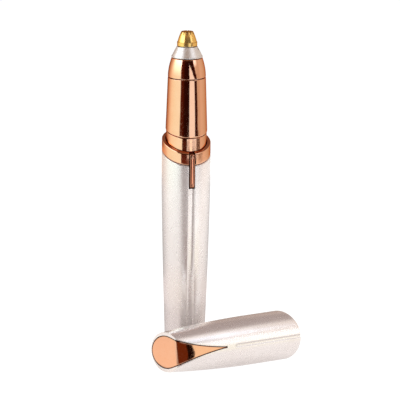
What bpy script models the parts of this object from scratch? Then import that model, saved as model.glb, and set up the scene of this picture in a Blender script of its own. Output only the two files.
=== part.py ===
"""Electric eyebrow trimmer standing on its barrel, with its cap lying in front of it.

The trimmer is turned about its own upright axis, with the switch bar on its -Y side, and
hangs under one empty.  The cap is built along its axis from its closed end to its mouth,
with its scoop on its -Y side, and hangs under a second empty that lays it down.
"""

import math

import bmesh
import bpy
from mathutils import Matrix, Vector
from mathutils.geometry import interpolate_bezier

MM = 0.001

# Overall sizes
BODY_RADIUS = 8.5 * MM
BARREL_HEIGHT = 67.7 * MM
RING_HEIGHT = 4.1 * MM
SEAT_SHOW = 3.55 * MM
NECK_LENGTH = 18.65 * MM
HEAD_LENGTH = 6.6 * MM
BEZEL_HEIGHT = 3.7 * MM
GUARD_HEIGHT = 4.9 * MM
CAP_END_LENGTH = 6.6 * MM

# Fits, shared by all pieces
PART_GAP = 0.3 * MM
RUN_GAP = 0.25 * MM
OVERRUN = 1.0 * MM
MERGE = 0.0001 * MM
SIDES = 40
MID_SIDES = 36
FINE_SIDES = 24
SMALL_SIDES = 16
SEAL_SIDES = 6
WIRE_STEPS = 9
CREASE = math.radians(32)
QUARTER = math.radians(90)

# The slanted parting between barrel, ring and cap: it drops towards the switch
PARTING_SLOPE = 0.332
PARTING_BOW = 0.065

# Where the two groups stand
TRIMMER_TURN = math.radians(-15.4)
CAP_END_PLACE = (-28.9 * MM, -37.4 * MM)
CAP_ROLL = math.radians(8.7)
FLOOR_GAP = 0.02 * MM

# Barrel
BARREL_BASE_RADIUS = 7.0 * MM
BARREL_STRAIGHT = 10.7 * MM
BARREL_TAPER_POWER = 1.35
BARREL_WALL = 1.1 * MM
BARREL_FLOOR = 1.4 * MM
BARREL_FOOT_EDGE = 0.4 * MM
BARREL_RINGS = 8
BARREL_INNER_RINGS = 5
GROOVE_RADIUS = 2.0 * MM
GROOVE_DEPTH_LOW = 0.62 * MM
GROOVE_DEPTH_HIGH = 0.45 * MM
LEAN_LENGTH = 7.0 * MM

# Battery cell of the size AAA, and the contacts round it
CELL_RADIUS = 5.25 * MM
CELL_LENGTH = 44.5 * MM
CELL_BUTTON_RADIUS = 1.9 * MM
CELL_BUTTON_HEIGHT = 1.2 * MM
CELL_EDGE = 0.5 * MM
STRIP_WIDTH = 3.0 * MM
STRIP_THICK = 0.3 * MM
STRIP_RISE = 4.0 * MM
SPRING_LOW_RADIUS = 3.8 * MM
SPRING_HIGH_RADIUS = 2.2 * MM
SPRING_WIRE = 0.25 * MM
SPRING_TURNS = 3.5
CONTACT_RADIUS = 2.6 * MM
CONTACT_DEPTH = 1.1 * MM
CONTACT_TIP_RADIUS = 1.2 * MM
CONTACT_PLATE = 0.3 * MM
RIVET_RADIUS = 0.7 * MM
RIVET_HEAD_RADIUS = 1.3 * MM
RIVET_HEAD_HEIGHT = 0.4 * MM

# Ring, seat sleeve and neck
RING_EDGE = 0.3 * MM
SEAT_STEP = 1.4 * MM
SEAT_DEPTH = 2.1 * MM
SEAT_WALL = 1.5 * MM
SEAT_SPIGOT_LENGTH = 2.95 * MM
NECK_STEP = 0.18 * MM
NECK_TAPER = 0.65 * MM
NECK_WALL = 0.9 * MM
NECK_EDGE = 0.15 * MM
NECK_SLOPE = 0.22
NECK_LEAN_LENGTH = 6.0 * MM

# Chassis that plugs into the barrel
CHASSIS_BELOW_BAR = 4.0 * MM
CHASSIS_WALL = 1.2 * MM
CHASSIS_FLOOR = 1.3 * MM
CHASSIS_SPIGOT_LENGTH = 4.7 * MM
CHASSIS_SPIGOT_WALL = 0.6 * MM
RECESS_WIDTH = 4.0 * MM
RECESS_HEIGHT = 4.5 * MM
RECESS_WALL = 0.5 * MM
SEAL_RISE = 5.5 * MM
SEAL_WIRE = 0.25 * MM
SEAL_GROOVE_DEPTH = 0.4 * MM
SEAL_GROOVE_HEIGHT = 0.8 * MM
STUD_RISE = 2.7 * MM
STUD_RADIUS = 0.65 * MM
STUD_HEAD_RADIUS = 1.3 * MM
STUD_HEAD_HEIGHT = 0.5 * MM

# Switch bar and the pieces behind it
SWITCH_TRAVEL = 2.2 * MM
BAR_LENGTH = 12.2 * MM
BAR_WIDTH = 1.6 * MM
BAR_RISE = 0.45 * MM
BAR_END_DROP = 0.6 * MM
BAR_END_LENGTH = 0.9 * MM
BAR_FLANK = 0.35 * MM
SLOT_WIDTH = 2.2 * MM
STEM_RISE = 3.2 * MM
STEM_HEIGHT = 2.6 * MM
STEM_WIDTH = 1.2 * MM
CARRIAGE_WIDTH = 4.4 * MM
CARRIAGE_DEPTH = 0.9 * MM
CARRIAGE_MARGIN = 0.5 * MM
WIPER_WIDTH = 3.0 * MM
WIPER_THICK = 0.25 * MM
WIPER_BEND = 0.35 * MM
SWITCH_DEPTH = 1.5 * MM
SWITCH_WIDTH = 4.4 * MM
BOARD_THICK = 0.8 * MM
BOARD_WIDTH = 10.0 * MM
BOARD_MARGIN = 0.5 * MM
BOSS_RADIUS = 1.3 * MM
BOSS_SPREAD = 3.3 * MM
BOSS_RISE = 3.6 * MM
SCREW_RADIUS = 0.45 * MM
SCREW_HEAD_RADIUS = 0.9 * MM
SCREW_HEAD_HEIGHT = 0.5 * MM
SCREW_LENGTH = 3.5 * MM

# Motor
MOTOR_RADIUS = 4.9 * MM
MOTOR_LENGTH = 14.8 * MM
MOTOR_EDGE = 0.3 * MM
MOTOR_FLAT_CUT = 0.6 * MM
MOTOR_BOSS_RADIUS = 1.4 * MM
MOTOR_BOSS_HEIGHT = 0.9 * MM
MOTOR_CAP_STEP = 0.2 * MM
MOTOR_CAP_HEIGHT = 1.7 * MM
TERMINAL_SPREAD = 2.6 * MM
TERMINAL_WIDTH = 1.4 * MM
TERMINAL_THICK = 0.3 * MM
TERMINAL_LENGTH = 1.7 * MM
LEAD_RADIUS = 0.35 * MM
LEAD_STEPS = 7
SHAFT_RADIUS = 0.5 * MM
CRADLE_LENGTH = 11.4 * MM
CRADLE_SLIT = 2.0 * MM

# Spigot on the neck that carries the head
SPIGOT_FLANGE_HEIGHT = 2.0 * MM
SPIGOT_FIT = 0.4 * MM
SPIGOT_BORE_RADIUS = 3.4 * MM
SPIGOT_FLOOR = 1.1 * MM
HEAD_SEAL_WIRE = 0.28 * MM
HEAD_SEAL_SINK = 0.35 * MM
HEAD_SEAL_SHARE = 0.5

# Drive socket, its spring and the cutter's tongue
SOCKET_RADIUS = 2.3 * MM
SOCKET_FLOOR = 0.7 * MM
SOCKET_SHAFT_DEPTH = 0.4 * MM
SOCKET_SLOT_DEPTH = 1.9 * MM
TONGUE_WIDTH = 2.6 * MM
TONGUE_THICK = 0.8 * MM
TONGUE_HEIGHT = 2.1 * MM
DRIVE_SPRING_WIRE = 0.1 * MM
DRIVE_SPRING_RADIUS = 0.75 * MM
DRIVE_SPRING_TURNS = 2.5
CUTTER_SHAFT_RADIUS = 0.8 * MM
CUTTER_COLLAR_RADIUS = 1.3 * MM
CUTTER_COLLAR_HEIGHT = 0.4 * MM
CUTTER_COLLAR_GAP = 0.4 * MM

# Head shell, its core, the bezel and the guard
HEAD_RADIUS_STEP = 0.03 * MM
HEAD_TOP_RADIUS = 5.37 * MM
HEAD_TAPER_POWER = 1.9
HEAD_WALL = 0.8 * MM
HEAD_RINGS = 5
HEAD_INNER_RINGS = 3
CORE_PLATE = 1.2 * MM
CORE_TUBE_RADIUS = 2.4 * MM
CORE_FLANGE_GAP = 0.35 * MM
CORE_FLANGE_HEIGHT = 0.8 * MM
BEZEL_LIP_HEIGHT = 0.3 * MM
BEZEL_LIP = 0.05 * MM
BEZEL_TOP_STEP = 0.08 * MM
BEZEL_WALL = 0.7 * MM
DIMPLE_RADIUS = 0.4 * MM
DIMPLE_DEPTH = 0.25 * MM
DIMPLE_TURN = math.radians(60)
DIMPLE_HEIGHT_SHARE = 0.78
GUARD_RADIUS = 3.5 * MM
GUARD_TOP_RADIUS = 2.05 * MM
GUARD_TAPER_POWER = 1.6
GUARD_EDGE = 0.3 * MM
GUARD_WALL = 0.4 * MM
GUARD_BAND_HEIGHT = 1.3 * MM
GUARD_BAND_STEP = 0.08 * MM
GUARD_RINGS = 5
GUARD_SLOTS = 12
GUARD_SLOT_WIDTH = 0.3 * MM
GUARD_SLOT_START = 1.0 * MM
GUARD_SLOT_DEPTH = 0.9 * MM

# Rotary cutter
CUTTER_BLADES = 6
BLADE_THICK = 0.25 * MM
BLADE_HEIGHT = 1.5 * MM
BLADE_CLEARANCE = 0.4 * MM
CUTTER_HUB_RADIUS = 0.95 * MM
CUTTER_HUB_RISE = 0.8 * MM
CUTTER_HUB_TOP = 0.7 * MM
SPINDLE_RADIUS = 0.4 * MM
BLADE_ROOT = 0.3 * MM

# Cap
CAP_END_RADIUS = 6.87 * MM
CAP_TAPER = 32.0 * MM
CAP_TAPER_POWER = 1.85
CAP_WALL = 1.0 * MM
CAP_MOUTH_EDGE = 0.2 * MM
CAP_TIP_CLEARANCE = 0.5 * MM
CAP_RINGS = 9
CAVITY_RINGS = 6
CAP_LEAN_LENGTH = 9.0 * MM
CAVITY_END_RADIUS = 4.8 * MM
CAVITY_TAPER = 23.8 * MM
CAVITY_TAPER_POWER = 1.9
CAP_END_SLOPE = 0.268
SCOOP_LENGTH = 22.0 * MM
SCOOP_START_SHARE = 0.64
SCOOP_BEND_SHARE = 0.855
SCOOP_TAIL_SHARES = (0.927, 0.318)
SCOOP_STEPS = 14
RIM_SIDE = 1.4 * MM
RIM_BACK = 0.5 * MM
TAIL_LENGTH = 23.5 * MM
TAIL_ROUND_SHARE = 0.17
TAIL_NARROW_SHARES = (0.34, 0.345)
TAIL_STEPS = 15
INSERT_THICK = 0.4 * MM
INSERT_SINK = 0.05 * MM
INSERT_SEAM = 0.25 * MM
INSERT_TAIL = 0.1 * MM
INSERT_ROUND_STEPS = 8
CAP_GROOVE_RADIUS = 1.8 * MM
CAP_GROOVE_DEPTH = 0.2 * MM
CAP_GROOVE_RUN_IN = 1.6 * MM

# Heights worked out from the sizes above, on the trimmer's axis
BARREL_TAPER = BARREL_HEIGHT - BARREL_STRAIGHT
RING_LOW = BARREL_HEIGHT + PART_GAP
RING_HIGH = RING_LOW + RING_HEIGHT
NECK_LOW = RING_HIGH + SEAT_SHOW
NECK_HIGH = NECK_LOW + NECK_LENGTH
HEAD_LOW = NECK_HIGH + PART_GAP
HEAD_HIGH = HEAD_LOW + HEAD_LENGTH
BEZEL_LOW = HEAD_HIGH + PART_GAP
BEZEL_HIGH = BEZEL_LOW + BEZEL_HEIGHT
GUARD_LOW = BEZEL_HIGH + PART_GAP
GUARD_HIGH = GUARD_LOW + GUARD_HEIGHT
CAP_LENGTH = CAP_END_LENGTH + CAP_TIP_CLEARANCE + GUARD_HIGH - RING_HIGH

SEAT_LOW = BARREL_HEIGHT - SEAT_DEPTH
SEAT_RADIUS = BODY_RADIUS - SEAT_STEP
SEAT_BORE = SEAT_RADIUS - SEAT_WALL
SEAT_SPIGOT_HIGH = NECK_LOW + SEAT_SPIGOT_LENGTH - PART_GAP
NECK_LOW_RADIUS = SEAT_RADIUS + NECK_STEP
NECK_HIGH_RADIUS = NECK_LOW_RADIUS - NECK_TAPER



def parting_drop(reach):
    """Drop of the slanted parting at a distance from the axis towards the switch."""
    return PARTING_SLOPE * reach + PARTING_BOW * reach ** 2 / BODY_RADIUS


BAR_HIGH = RING_HIGH - parting_drop(BODY_RADIUS)
BAR_LOW = BAR_HIGH - BAR_LENGTH
STEM_LOW = BAR_LOW + STEM_RISE
STEM_HIGH = STEM_LOW + STEM_HEIGHT

CHASSIS_HIGH = SEAT_LOW - PART_GAP
CHASSIS_LOW = BAR_LOW - CHASSIS_BELOW_BAR
CHASSIS_RADIUS = BODY_RADIUS - BARREL_WALL - PART_GAP
CHASSIS_BORE = CHASSIS_RADIUS - CHASSIS_WALL

CONTACT_HIGH = CHASSIS_LOW - PART_GAP
CELL_HIGH = CONTACT_HIGH - CONTACT_DEPTH - PART_GAP
CELL_LOW = CELL_HIGH - CELL_LENGTH
STRIP_LOW = BARREL_FLOOR + PART_GAP

CORE_LOW = HEAD_HIGH - HEAD_WALL - PART_GAP - CORE_PLATE
SPIGOT_LOW = NECK_HIGH - SPIGOT_FLANGE_HEIGHT
SPIGOT_HIGH = CORE_LOW - PART_GAP
MOTOR_HIGH = SPIGOT_LOW - PART_GAP - MOTOR_BOSS_HEIGHT
MOTOR_LOW = MOTOR_HIGH - MOTOR_LENGTH
MOTOR_CAP_HIGH = MOTOR_LOW - PART_GAP
MOTOR_CAP_LOW = MOTOR_CAP_HIGH - MOTOR_CAP_HEIGHT

TONGUE_HIGH = CORE_LOW - CUTTER_COLLAR_GAP - CUTTER_COLLAR_HEIGHT
TONGUE_LOW = TONGUE_HIGH - TONGUE_HEIGHT
SLOT_FLOOR = TONGUE_LOW - PART_GAP - RUN_GAP
SOCKET_LOW = SPIGOT_LOW + SPIGOT_FLOOR + PART_GAP + RUN_GAP
SOCKET_HIGH = SLOT_FLOOR + SOCKET_SLOT_DEPTH

CORE_FLANGE_RADIUS = GUARD_RADIUS - GUARD_WALL - CORE_FLANGE_GAP
CORE_FLANGE_HIGH = GUARD_LOW + CORE_FLANGE_HEIGHT
BEZEL_TOP_RADIUS = GUARD_RADIUS + BEZEL_TOP_STEP


def taper(full, end, length, power, distance):
    """Radius of a smoothly tapered form at a distance from its narrow end."""
    left = max(0.0, 1 - distance / length)
    return full - (full - end) * left ** power


def barrel_radius(height):
    return taper(BODY_RADIUS, BARREL_BASE_RADIUS, BARREL_TAPER, BARREL_TAPER_POWER, height)


def neck_radius(height):
    rise = (height - NECK_LOW) / NECK_LENGTH
    return NECK_LOW_RADIUS - NECK_TAPER * rise


def head_radius(height):
    low = NECK_HIGH_RADIUS - HEAD_RADIUS_STEP
    return taper(low, HEAD_TOP_RADIUS, HEAD_LENGTH, HEAD_TAPER_POWER, HEAD_HIGH - height)


def guard_radius(height):
    return taper(GUARD_RADIUS, GUARD_TOP_RADIUS, GUARD_HEIGHT, GUARD_TAPER_POWER, GUARD_HIGH - height)


def cap_radius(distance):
    return taper(BODY_RADIUS, CAP_END_RADIUS, CAP_TAPER, CAP_TAPER_POWER, distance)


def spread(low, high, count):
    """Even steps from low to high, both included."""
    return [low + (high - low) * step / (count - 1) for step in range(count)]


def clear_scene():
    for item in list(bpy.data.objects):
        bpy.data.objects.remove(item, do_unlink=True)


def look(name, colour, roughness, metallic=0.0):
    """Plain material with a colour, a roughness and a metallic value."""
    made = bpy.data.materials.new(name)
    made.use_nodes = True
    shader = made.node_tree.nodes["Principled BSDF"]
    shader.inputs["Base Color"].default_value = (*colour, 1.0)
    shader.inputs["Roughness"].default_value = roughness
    shader.inputs["Metallic"].default_value = metallic
    return made


def add_empty(name, matrix):
    holder = bpy.data.objects.new(name, None)
    bpy.context.scene.collection.objects.link(holder)
    holder.matrix_world = matrix
    return holder


def add_solid(name, shape, parent, surface, origin=(0, 0, 0)):
    """Object from a closed bmesh, with its own origin under a parent."""
    bmesh.ops.recalc_face_normals(shape, faces=shape.faces)
    bmesh.ops.translate(shape, verts=shape.verts, vec=-Vector(origin))
    mesh = bpy.data.meshes.new(name)
    shape.to_mesh(mesh)
    shape.free()
    if surface:
        mesh.materials.append(surface)
    mesh.shade_smooth()
    mesh.set_sharp_from_angle(angle=CREASE)
    item = bpy.data.objects.new(name, mesh)
    bpy.context.scene.collection.objects.link(item)
    item.parent = parent
    item.location = origin
    return item


def change_with(item, name, shape, operation="DIFFERENCE"):
    """Boolean change of a piece by a shape drawn in the piece's parent space."""
    tool = add_solid(name, shape, item.parent, None)
    tool.hide_render = True
    tool.display_type = "WIRE"
    step = item.modifiers.new(name, "BOOLEAN")
    step.operation = operation
    step.solver = "EXACT"
    step.object = tool


def turned(profile, sides=SIDES, closed=True, middle=(0, 0)):
    """Body of revolution about an upright line, from (radius, height) points.

    A closed profile is a loop that stays off the line; an open one starts and ends on it.
    """
    shape = bmesh.new()
    points = [shape.verts.new((middle[0] + radius, middle[1], height)) for radius, height in profile]
    edges = [shape.edges.new(pair) for pair in zip(points, points[1:])]
    if closed:
        edges.append(shape.edges.new((points[-1], points[0])))
    bmesh.ops.spin(
        shape,
        geom=points + edges,
        cent=(middle[0], middle[1], 0),
        axis=(0, 0, 1),
        angle=math.tau,
        steps=sides,
        use_merge=True,
    )
    bmesh.ops.remove_doubles(shape, verts=shape.verts, dist=MERGE)
    return shape


def pin(radius, low, high):
    """Profile of a plain pin, from its start to its end on the axis."""
    return [(0, low), (radius, low), (radius, high), (0, high)]


def tube(low, high, outer, inner, sides=SIDES):
    """Plain tube between two heights."""
    return turned([(inner, low), (outer, low), (outer, high), (inner, high)], sides)


def block(x_span, y_span, z_span):
    """Box between a low and a high value on each axis."""
    shape = bmesh.new()
    bmesh.ops.create_cube(shape, size=1)
    spans = (x_span, y_span, z_span)
    for vertex in shape.verts:
        for axis, (low, high) in enumerate(spans):
            vertex.co[axis] = high if vertex.co[axis] > 0 else low
    return shape


def even(width):
    """Span of a width centred on zero."""
    return (-width / 2, width / 2)


def lofted(rings):
    """Closed body through rings of equal point counts, capped at both ends."""
    shape = bmesh.new()
    made = [[shape.verts.new(point) for point in ring] for ring in rings]
    for near, far in zip(made, made[1:]):
        for step in range(len(near)):
            after = (step + 1) % len(near)
            shape.faces.new((near[step], near[after], far[after], far[step]))
    shape.faces.new(made[0])
    shape.faces.new(made[-1])
    return shape


def extruded(outline, width):
    """Prism across X with an outline of (y, z) points."""
    ends = [[(x, y, z) for y, z in outline] for x in even(width)]
    return lofted(ends)


def round_rod(stations, sides=FINE_SIDES):
    """Rod through (y, z, radius) stations, each ring level."""
    rings = []
    for y, z, radius in stations:
        turns = [math.tau * step / sides for step in range(sides)]
        rings.append([(radius * math.sin(turn), y + radius * math.cos(turn), z) for turn in turns])
    return lofted(rings)


def turned_along_y(profile, x, z, sides=SMALL_SIDES):
    """Body of revolution about a line along Y, from (radius, y) points that end on the line."""
    shape = turned(profile, sides, closed=False)
    shape.transform(Matrix.Translation((x, 0, z)) @ Matrix.Rotation(-QUARTER, 4, "X"))
    return shape


def joined(shapes):
    """One mesh that holds several separate closed shapes."""
    whole = bmesh.new()
    for shape in shapes:
        mesh = bpy.data.meshes.new("joined")
        bmesh.ops.recalc_face_normals(shape, faces=shape.faces)
        shape.to_mesh(mesh)
        shape.free()
        whole.from_mesh(mesh)
        bpy.data.meshes.remove(mesh)
    return whole


def turned_about_z(shape, angle):
    shape.transform(Matrix.Rotation(angle, 4, "Z"))
    return shape


def lean(shape, still, moved, slope, bow=0.0):
    """Slant the heights: none of it at the still height, all of it from the moved height on."""
    for vertex in shape.verts:
        share = min(max((vertex.co.z - still) / (moved - still), 0), 1)
        reach = -vertex.co.y
        vertex.co.z -= share * (slope * reach + bow * reach ** 2 / BODY_RADIUS)
    return shape


def wire(name, points, radius, parent, surface, resolution=1):
    """Round wire with closed ends through a list of points."""
    curve = bpy.data.curves.new(name, "CURVE")
    curve.dimensions = "3D"
    curve.bevel_depth = radius
    curve.bevel_resolution = resolution
    curve.use_fill_caps = True
    line = curve.splines.new("POLY")
    line.points.add(len(points) - 1)
    for slot, point in zip(line.points, points):
        slot.co = (*point, 1)
    curve.materials.append(surface)
    item = bpy.data.objects.new(name, curve)
    bpy.context.scene.collection.objects.link(item)
    item.parent = parent
    return item


def coil_points(low, high, low_radius, high_radius, turns):
    """Points of a coil about the axis, flat for its first and last half turn."""
    points = []
    for step in range(int(turns * WIRE_STEPS) + 1):
        turn = step / WIRE_STEPS
        climb = min(max((turn - 1 / 2) / (turns - 1), 0), 1)
        radius = low_radius + (high_radius - low_radius) * climb
        angle = math.tau * turn
        points.append((radius * math.cos(angle), radius * math.sin(angle), low + (high - low) * climb))
    return points


def make_barrel(parent, looks):
    """Shell that stands on its flat foot, with a finger groove and the switch slot."""
    outer = [(barrel_radius(z), z) for z in spread(BARREL_FOOT_EDGE, BARREL_TAPER, BARREL_RINGS)]
    outer.append((BODY_RADIUS, BARREL_HEIGHT - LEAN_LENGTH))
    outer.append((BODY_RADIUS, BARREL_HEIGHT))
    heights = spread(BARREL_FLOOR, BARREL_TAPER, BARREL_INNER_RINGS)
    inner = [(barrel_radius(z) - BARREL_WALL, z) for z in heights]
    inner.append((BODY_RADIUS - BARREL_WALL, BARREL_HEIGHT - LEAN_LENGTH))
    inner.append((BODY_RADIUS - BARREL_WALL, BARREL_HEIGHT))
    foot = [(0, 0), (barrel_radius(0) - BARREL_FOOT_EDGE, 0)]
    floor = [(0, BARREL_FLOOR)]
    shape = turned(foot + outer + inner[::-1] + floor, closed=False)
    lean(shape, BARREL_HEIGHT - LEAN_LENGTH, BARREL_HEIGHT, PARTING_SLOPE, PARTING_BOW)
    shell = add_solid("barrel_shell", shape, parent, looks["pearl"])

    stations = []
    for z in spread(-OVERRUN, BARREL_TAPER, BARREL_RINGS) + [BARREL_HEIGHT + OVERRUN]:
        rise = min(max(z / BARREL_TAPER, 0), 1)
        depth = GROOVE_DEPTH_LOW + (GROOVE_DEPTH_HIGH - GROOVE_DEPTH_LOW) * rise
        stations.append((-(barrel_radius(z) + GROOVE_RADIUS - depth), z, GROOVE_RADIUS))
    change_with(shell, "groove_cut", round_rod(stations))

    reach = (-(BODY_RADIUS + OVERRUN), -(BODY_RADIUS - BARREL_WALL - OVERRUN))
    rise = (BAR_LOW - PART_GAP, BARREL_HEIGHT + OVERRUN)
    change_with(shell, "slot_cut", block(even(SLOT_WIDTH), reach, rise))


def make_battery(parent, looks):
    """Cell with its button upwards, the return strip and the coil spring under it."""
    can_high = CELL_HIGH - CELL_BUTTON_HEIGHT
    cell = [
        (0, CELL_LOW),
        (CELL_RADIUS - CELL_EDGE, CELL_LOW),
        (CELL_RADIUS, CELL_LOW + CELL_EDGE),
        (CELL_RADIUS, can_high - CELL_EDGE),
        (CELL_RADIUS - CELL_EDGE, can_high),
        (CELL_BUTTON_RADIUS, can_high),
        (CELL_BUTTON_RADIUS, CELL_HIGH),
        (0, CELL_HIGH),
    ]
    add_solid("battery_cell", turned(cell, FINE_SIDES, closed=False), parent, looks["cell"])

    strip_high = CHASSIS_LOW + STRIP_RISE
    heights = spread(STRIP_LOW, strip_high, BARREL_RINGS)
    outside = [(barrel_radius(z) - BARREL_WALL - PART_GAP, z) for z in heights]
    inside = [(y - STRIP_THICK, z) for y, z in outside]
    foot_y = -SPRING_LOW_RADIUS
    inside[0] = (inside[0][0], STRIP_LOW + STRIP_THICK)
    foot = [(foot_y, STRIP_LOW + STRIP_THICK), (foot_y, STRIP_LOW)]
    strip = extruded(outside + inside[::-1] + foot, STRIP_WIDTH)
    add_solid("return_strip", strip, parent, looks["spring_steel"])

    low = STRIP_LOW + STRIP_THICK + PART_GAP + SPRING_WIRE
    high = CELL_LOW - PART_GAP - SPRING_WIRE
    points = coil_points(low, high, SPRING_LOW_RADIUS, SPRING_HIGH_RADIUS, SPRING_TURNS)
    wire("battery_spring", points, SPRING_WIRE, parent, looks["spring_steel"])


def make_ring(parent, looks):
    """Trim ring between barrel and neck, slanted like the parting, notched for the bar."""
    inner = SEAT_RADIUS + RUN_GAP
    profile = [
        (inner, RING_LOW),
        (BODY_RADIUS - RING_EDGE, RING_LOW),
        (BODY_RADIUS, RING_LOW + RING_EDGE),
        (BODY_RADIUS, RING_HIGH - RING_EDGE),
        (BODY_RADIUS - RING_EDGE, RING_HIGH),
        (inner, RING_HIGH),
    ]
    shape = lean(turned(profile), 0, RING_LOW - OVERRUN, PARTING_SLOPE, PARTING_BOW)
    ring = add_solid("collar_ring", shape, parent, looks["rose_gold"])
    reach = (-(BODY_RADIUS + OVERRUN), -(SEAT_RADIUS - RUN_GAP))
    drop = parting_drop(BODY_RADIUS) + OVERRUN
    change_with(ring, "ring_notch_cut", block(even(SLOT_WIDTH), reach, (RING_LOW - drop, RING_HIGH)))


def make_seat(parent, looks):
    """Sleeve that the cap slides over, with a spigot up inside the neck."""
    shoulder = NECK_LOW - PART_GAP
    spigot = NECK_LOW_RADIUS - NECK_WALL - PART_GAP
    profile = [
        (SEAT_BORE, SEAT_LOW),
        (SEAT_RADIUS, SEAT_LOW),
        (SEAT_RADIUS, RING_HIGH),
        (SEAT_RADIUS, shoulder),
        (spigot, shoulder),
        (spigot, SEAT_SPIGOT_HIGH),
        (SEAT_BORE, SEAT_SPIGOT_HIGH),
        (SEAT_BORE, RING_HIGH),
    ]
    shape = lean(turned(profile), SEAT_LOW, shoulder, NECK_SLOPE)
    add_solid("cap_seat", shape, parent, looks["rose_gold"])


def make_neck(parent, looks):
    """Slightly tapered shell over the motor, its lower edge slanted."""
    fade = NECK_LOW + NECK_LEAN_LENGTH
    profile = [
        (NECK_LOW_RADIUS - NECK_WALL, NECK_LOW),
        (NECK_LOW_RADIUS - NECK_EDGE, NECK_LOW),
        (NECK_LOW_RADIUS, NECK_LOW + NECK_EDGE),
        (neck_radius(fade), fade),
        (NECK_HIGH_RADIUS, NECK_HIGH - NECK_EDGE),
        (NECK_HIGH_RADIUS - NECK_EDGE, NECK_HIGH),
        (NECK_HIGH_RADIUS - NECK_WALL, NECK_HIGH),
        (neck_radius(fade) - NECK_WALL, fade),
    ]
    shape = lean(turned(profile), fade, NECK_LOW + NECK_EDGE, NECK_SLOPE)
    add_solid("neck_shell", shape, parent, looks["rose_gold"])


def make_chassis(parent, looks):
    """Plug that carries the electrics, with a window for the switch stem."""
    spigot = SEAT_BORE - PART_GAP
    seal_low = CHASSIS_LOW + SEAL_RISE - SEAL_GROOVE_HEIGHT / 2
    seal_high = seal_low + SEAL_GROOVE_HEIGHT
    floor_hole = RIVET_RADIUS + PART_GAP
    profile = [
        (floor_hole, CHASSIS_LOW),
        (CHASSIS_RADIUS, CHASSIS_LOW),
        (CHASSIS_RADIUS, seal_low),
        (CHASSIS_RADIUS - SEAL_GROOVE_DEPTH, seal_low),
        (CHASSIS_RADIUS - SEAL_GROOVE_DEPTH, seal_high),
        (CHASSIS_RADIUS, seal_high),
        (CHASSIS_RADIUS, CHASSIS_HIGH),
        (spigot, CHASSIS_HIGH),
        (spigot, CHASSIS_HIGH + CHASSIS_SPIGOT_LENGTH),
        (spigot - CHASSIS_SPIGOT_WALL, CHASSIS_HIGH + CHASSIS_SPIGOT_LENGTH),
        (spigot - CHASSIS_SPIGOT_WALL, CHASSIS_HIGH - CHASSIS_SPIGOT_WALL),
        (CHASSIS_BORE, CHASSIS_HIGH - CHASSIS_SPIGOT_WALL - PART_GAP),
        (CHASSIS_BORE, CHASSIS_LOW + CHASSIS_FLOOR),
        (floor_hole, CHASSIS_LOW + CHASSIS_FLOOR),
    ]
    chassis = add_solid("chassis", turned(profile, MID_SIDES), parent, looks["black_plastic"])

    window = (STEM_LOW - PART_GAP, STEM_HIGH + SWITCH_TRAVEL + PART_GAP)
    reach = (-(CHASSIS_RADIUS + OVERRUN), -(CHASSIS_BORE - OVERRUN))
    change_with(chassis, "window_cut", block(even(SLOT_WIDTH), reach, window))

    recess = (CHASSIS_BORE + RECESS_WALL, CHASSIS_RADIUS + OVERRUN)
    rise = (CHASSIS_LOW - OVERRUN, CHASSIS_LOW + RECESS_HEIGHT)
    change_with(chassis, "recess_cut", block(even(RECESS_WIDTH), recess, rise))

    stud_hole = STUD_RADIUS + PART_GAP
    run = pin(stud_hole, CHASSIS_BORE - OVERRUN, CHASSIS_RADIUS + OVERRUN)
    change_with(chassis, "stud_hole_cut", turned_along_y(run, 0, CHASSIS_LOW + STUD_RISE))

    height = CHASSIS_LOW + BOSS_RISE
    boss_end = math.sqrt(CHASSIS_BORE ** 2 - BOSS_SPREAD ** 2) + PART_GAP
    boss = pin(BOSS_RADIUS, BOARD_BACK + PART_GAP, boss_end)
    bore_end = BOARD_BACK + SCREW_LENGTH + PART_GAP
    bore = pin(SCREW_RADIUS + PART_GAP, BOARD_BACK - OVERRUN, bore_end)
    places = (-BOSS_SPREAD, BOSS_SPREAD)
    change_with(chassis, "bosses", joined([turned_along_y(boss, x, height) for x in places]), "UNION")
    change_with(chassis, "boss_bores_cut", joined([turned_along_y(bore, x, height) for x in places]))


# Places across the chassis, from the switch side to the back
STEM_BACK = -(CHASSIS_BORE - PART_GAP - RUN_GAP)
CARRIAGE_FRONT = STEM_BACK + PART_GAP
CARRIAGE_BACK = CARRIAGE_FRONT + CARRIAGE_DEPTH
WIPER_FRONT = CARRIAGE_BACK + PART_GAP
WIPER_BACK = WIPER_FRONT + WIPER_THICK + WIPER_BEND
SWITCH_FRONT = WIPER_BACK + PART_GAP
SWITCH_BACK = SWITCH_FRONT + SWITCH_DEPTH
BOARD_FRONT = SWITCH_BACK + PART_GAP
BOARD_BACK = BOARD_FRONT + BOARD_THICK


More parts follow.
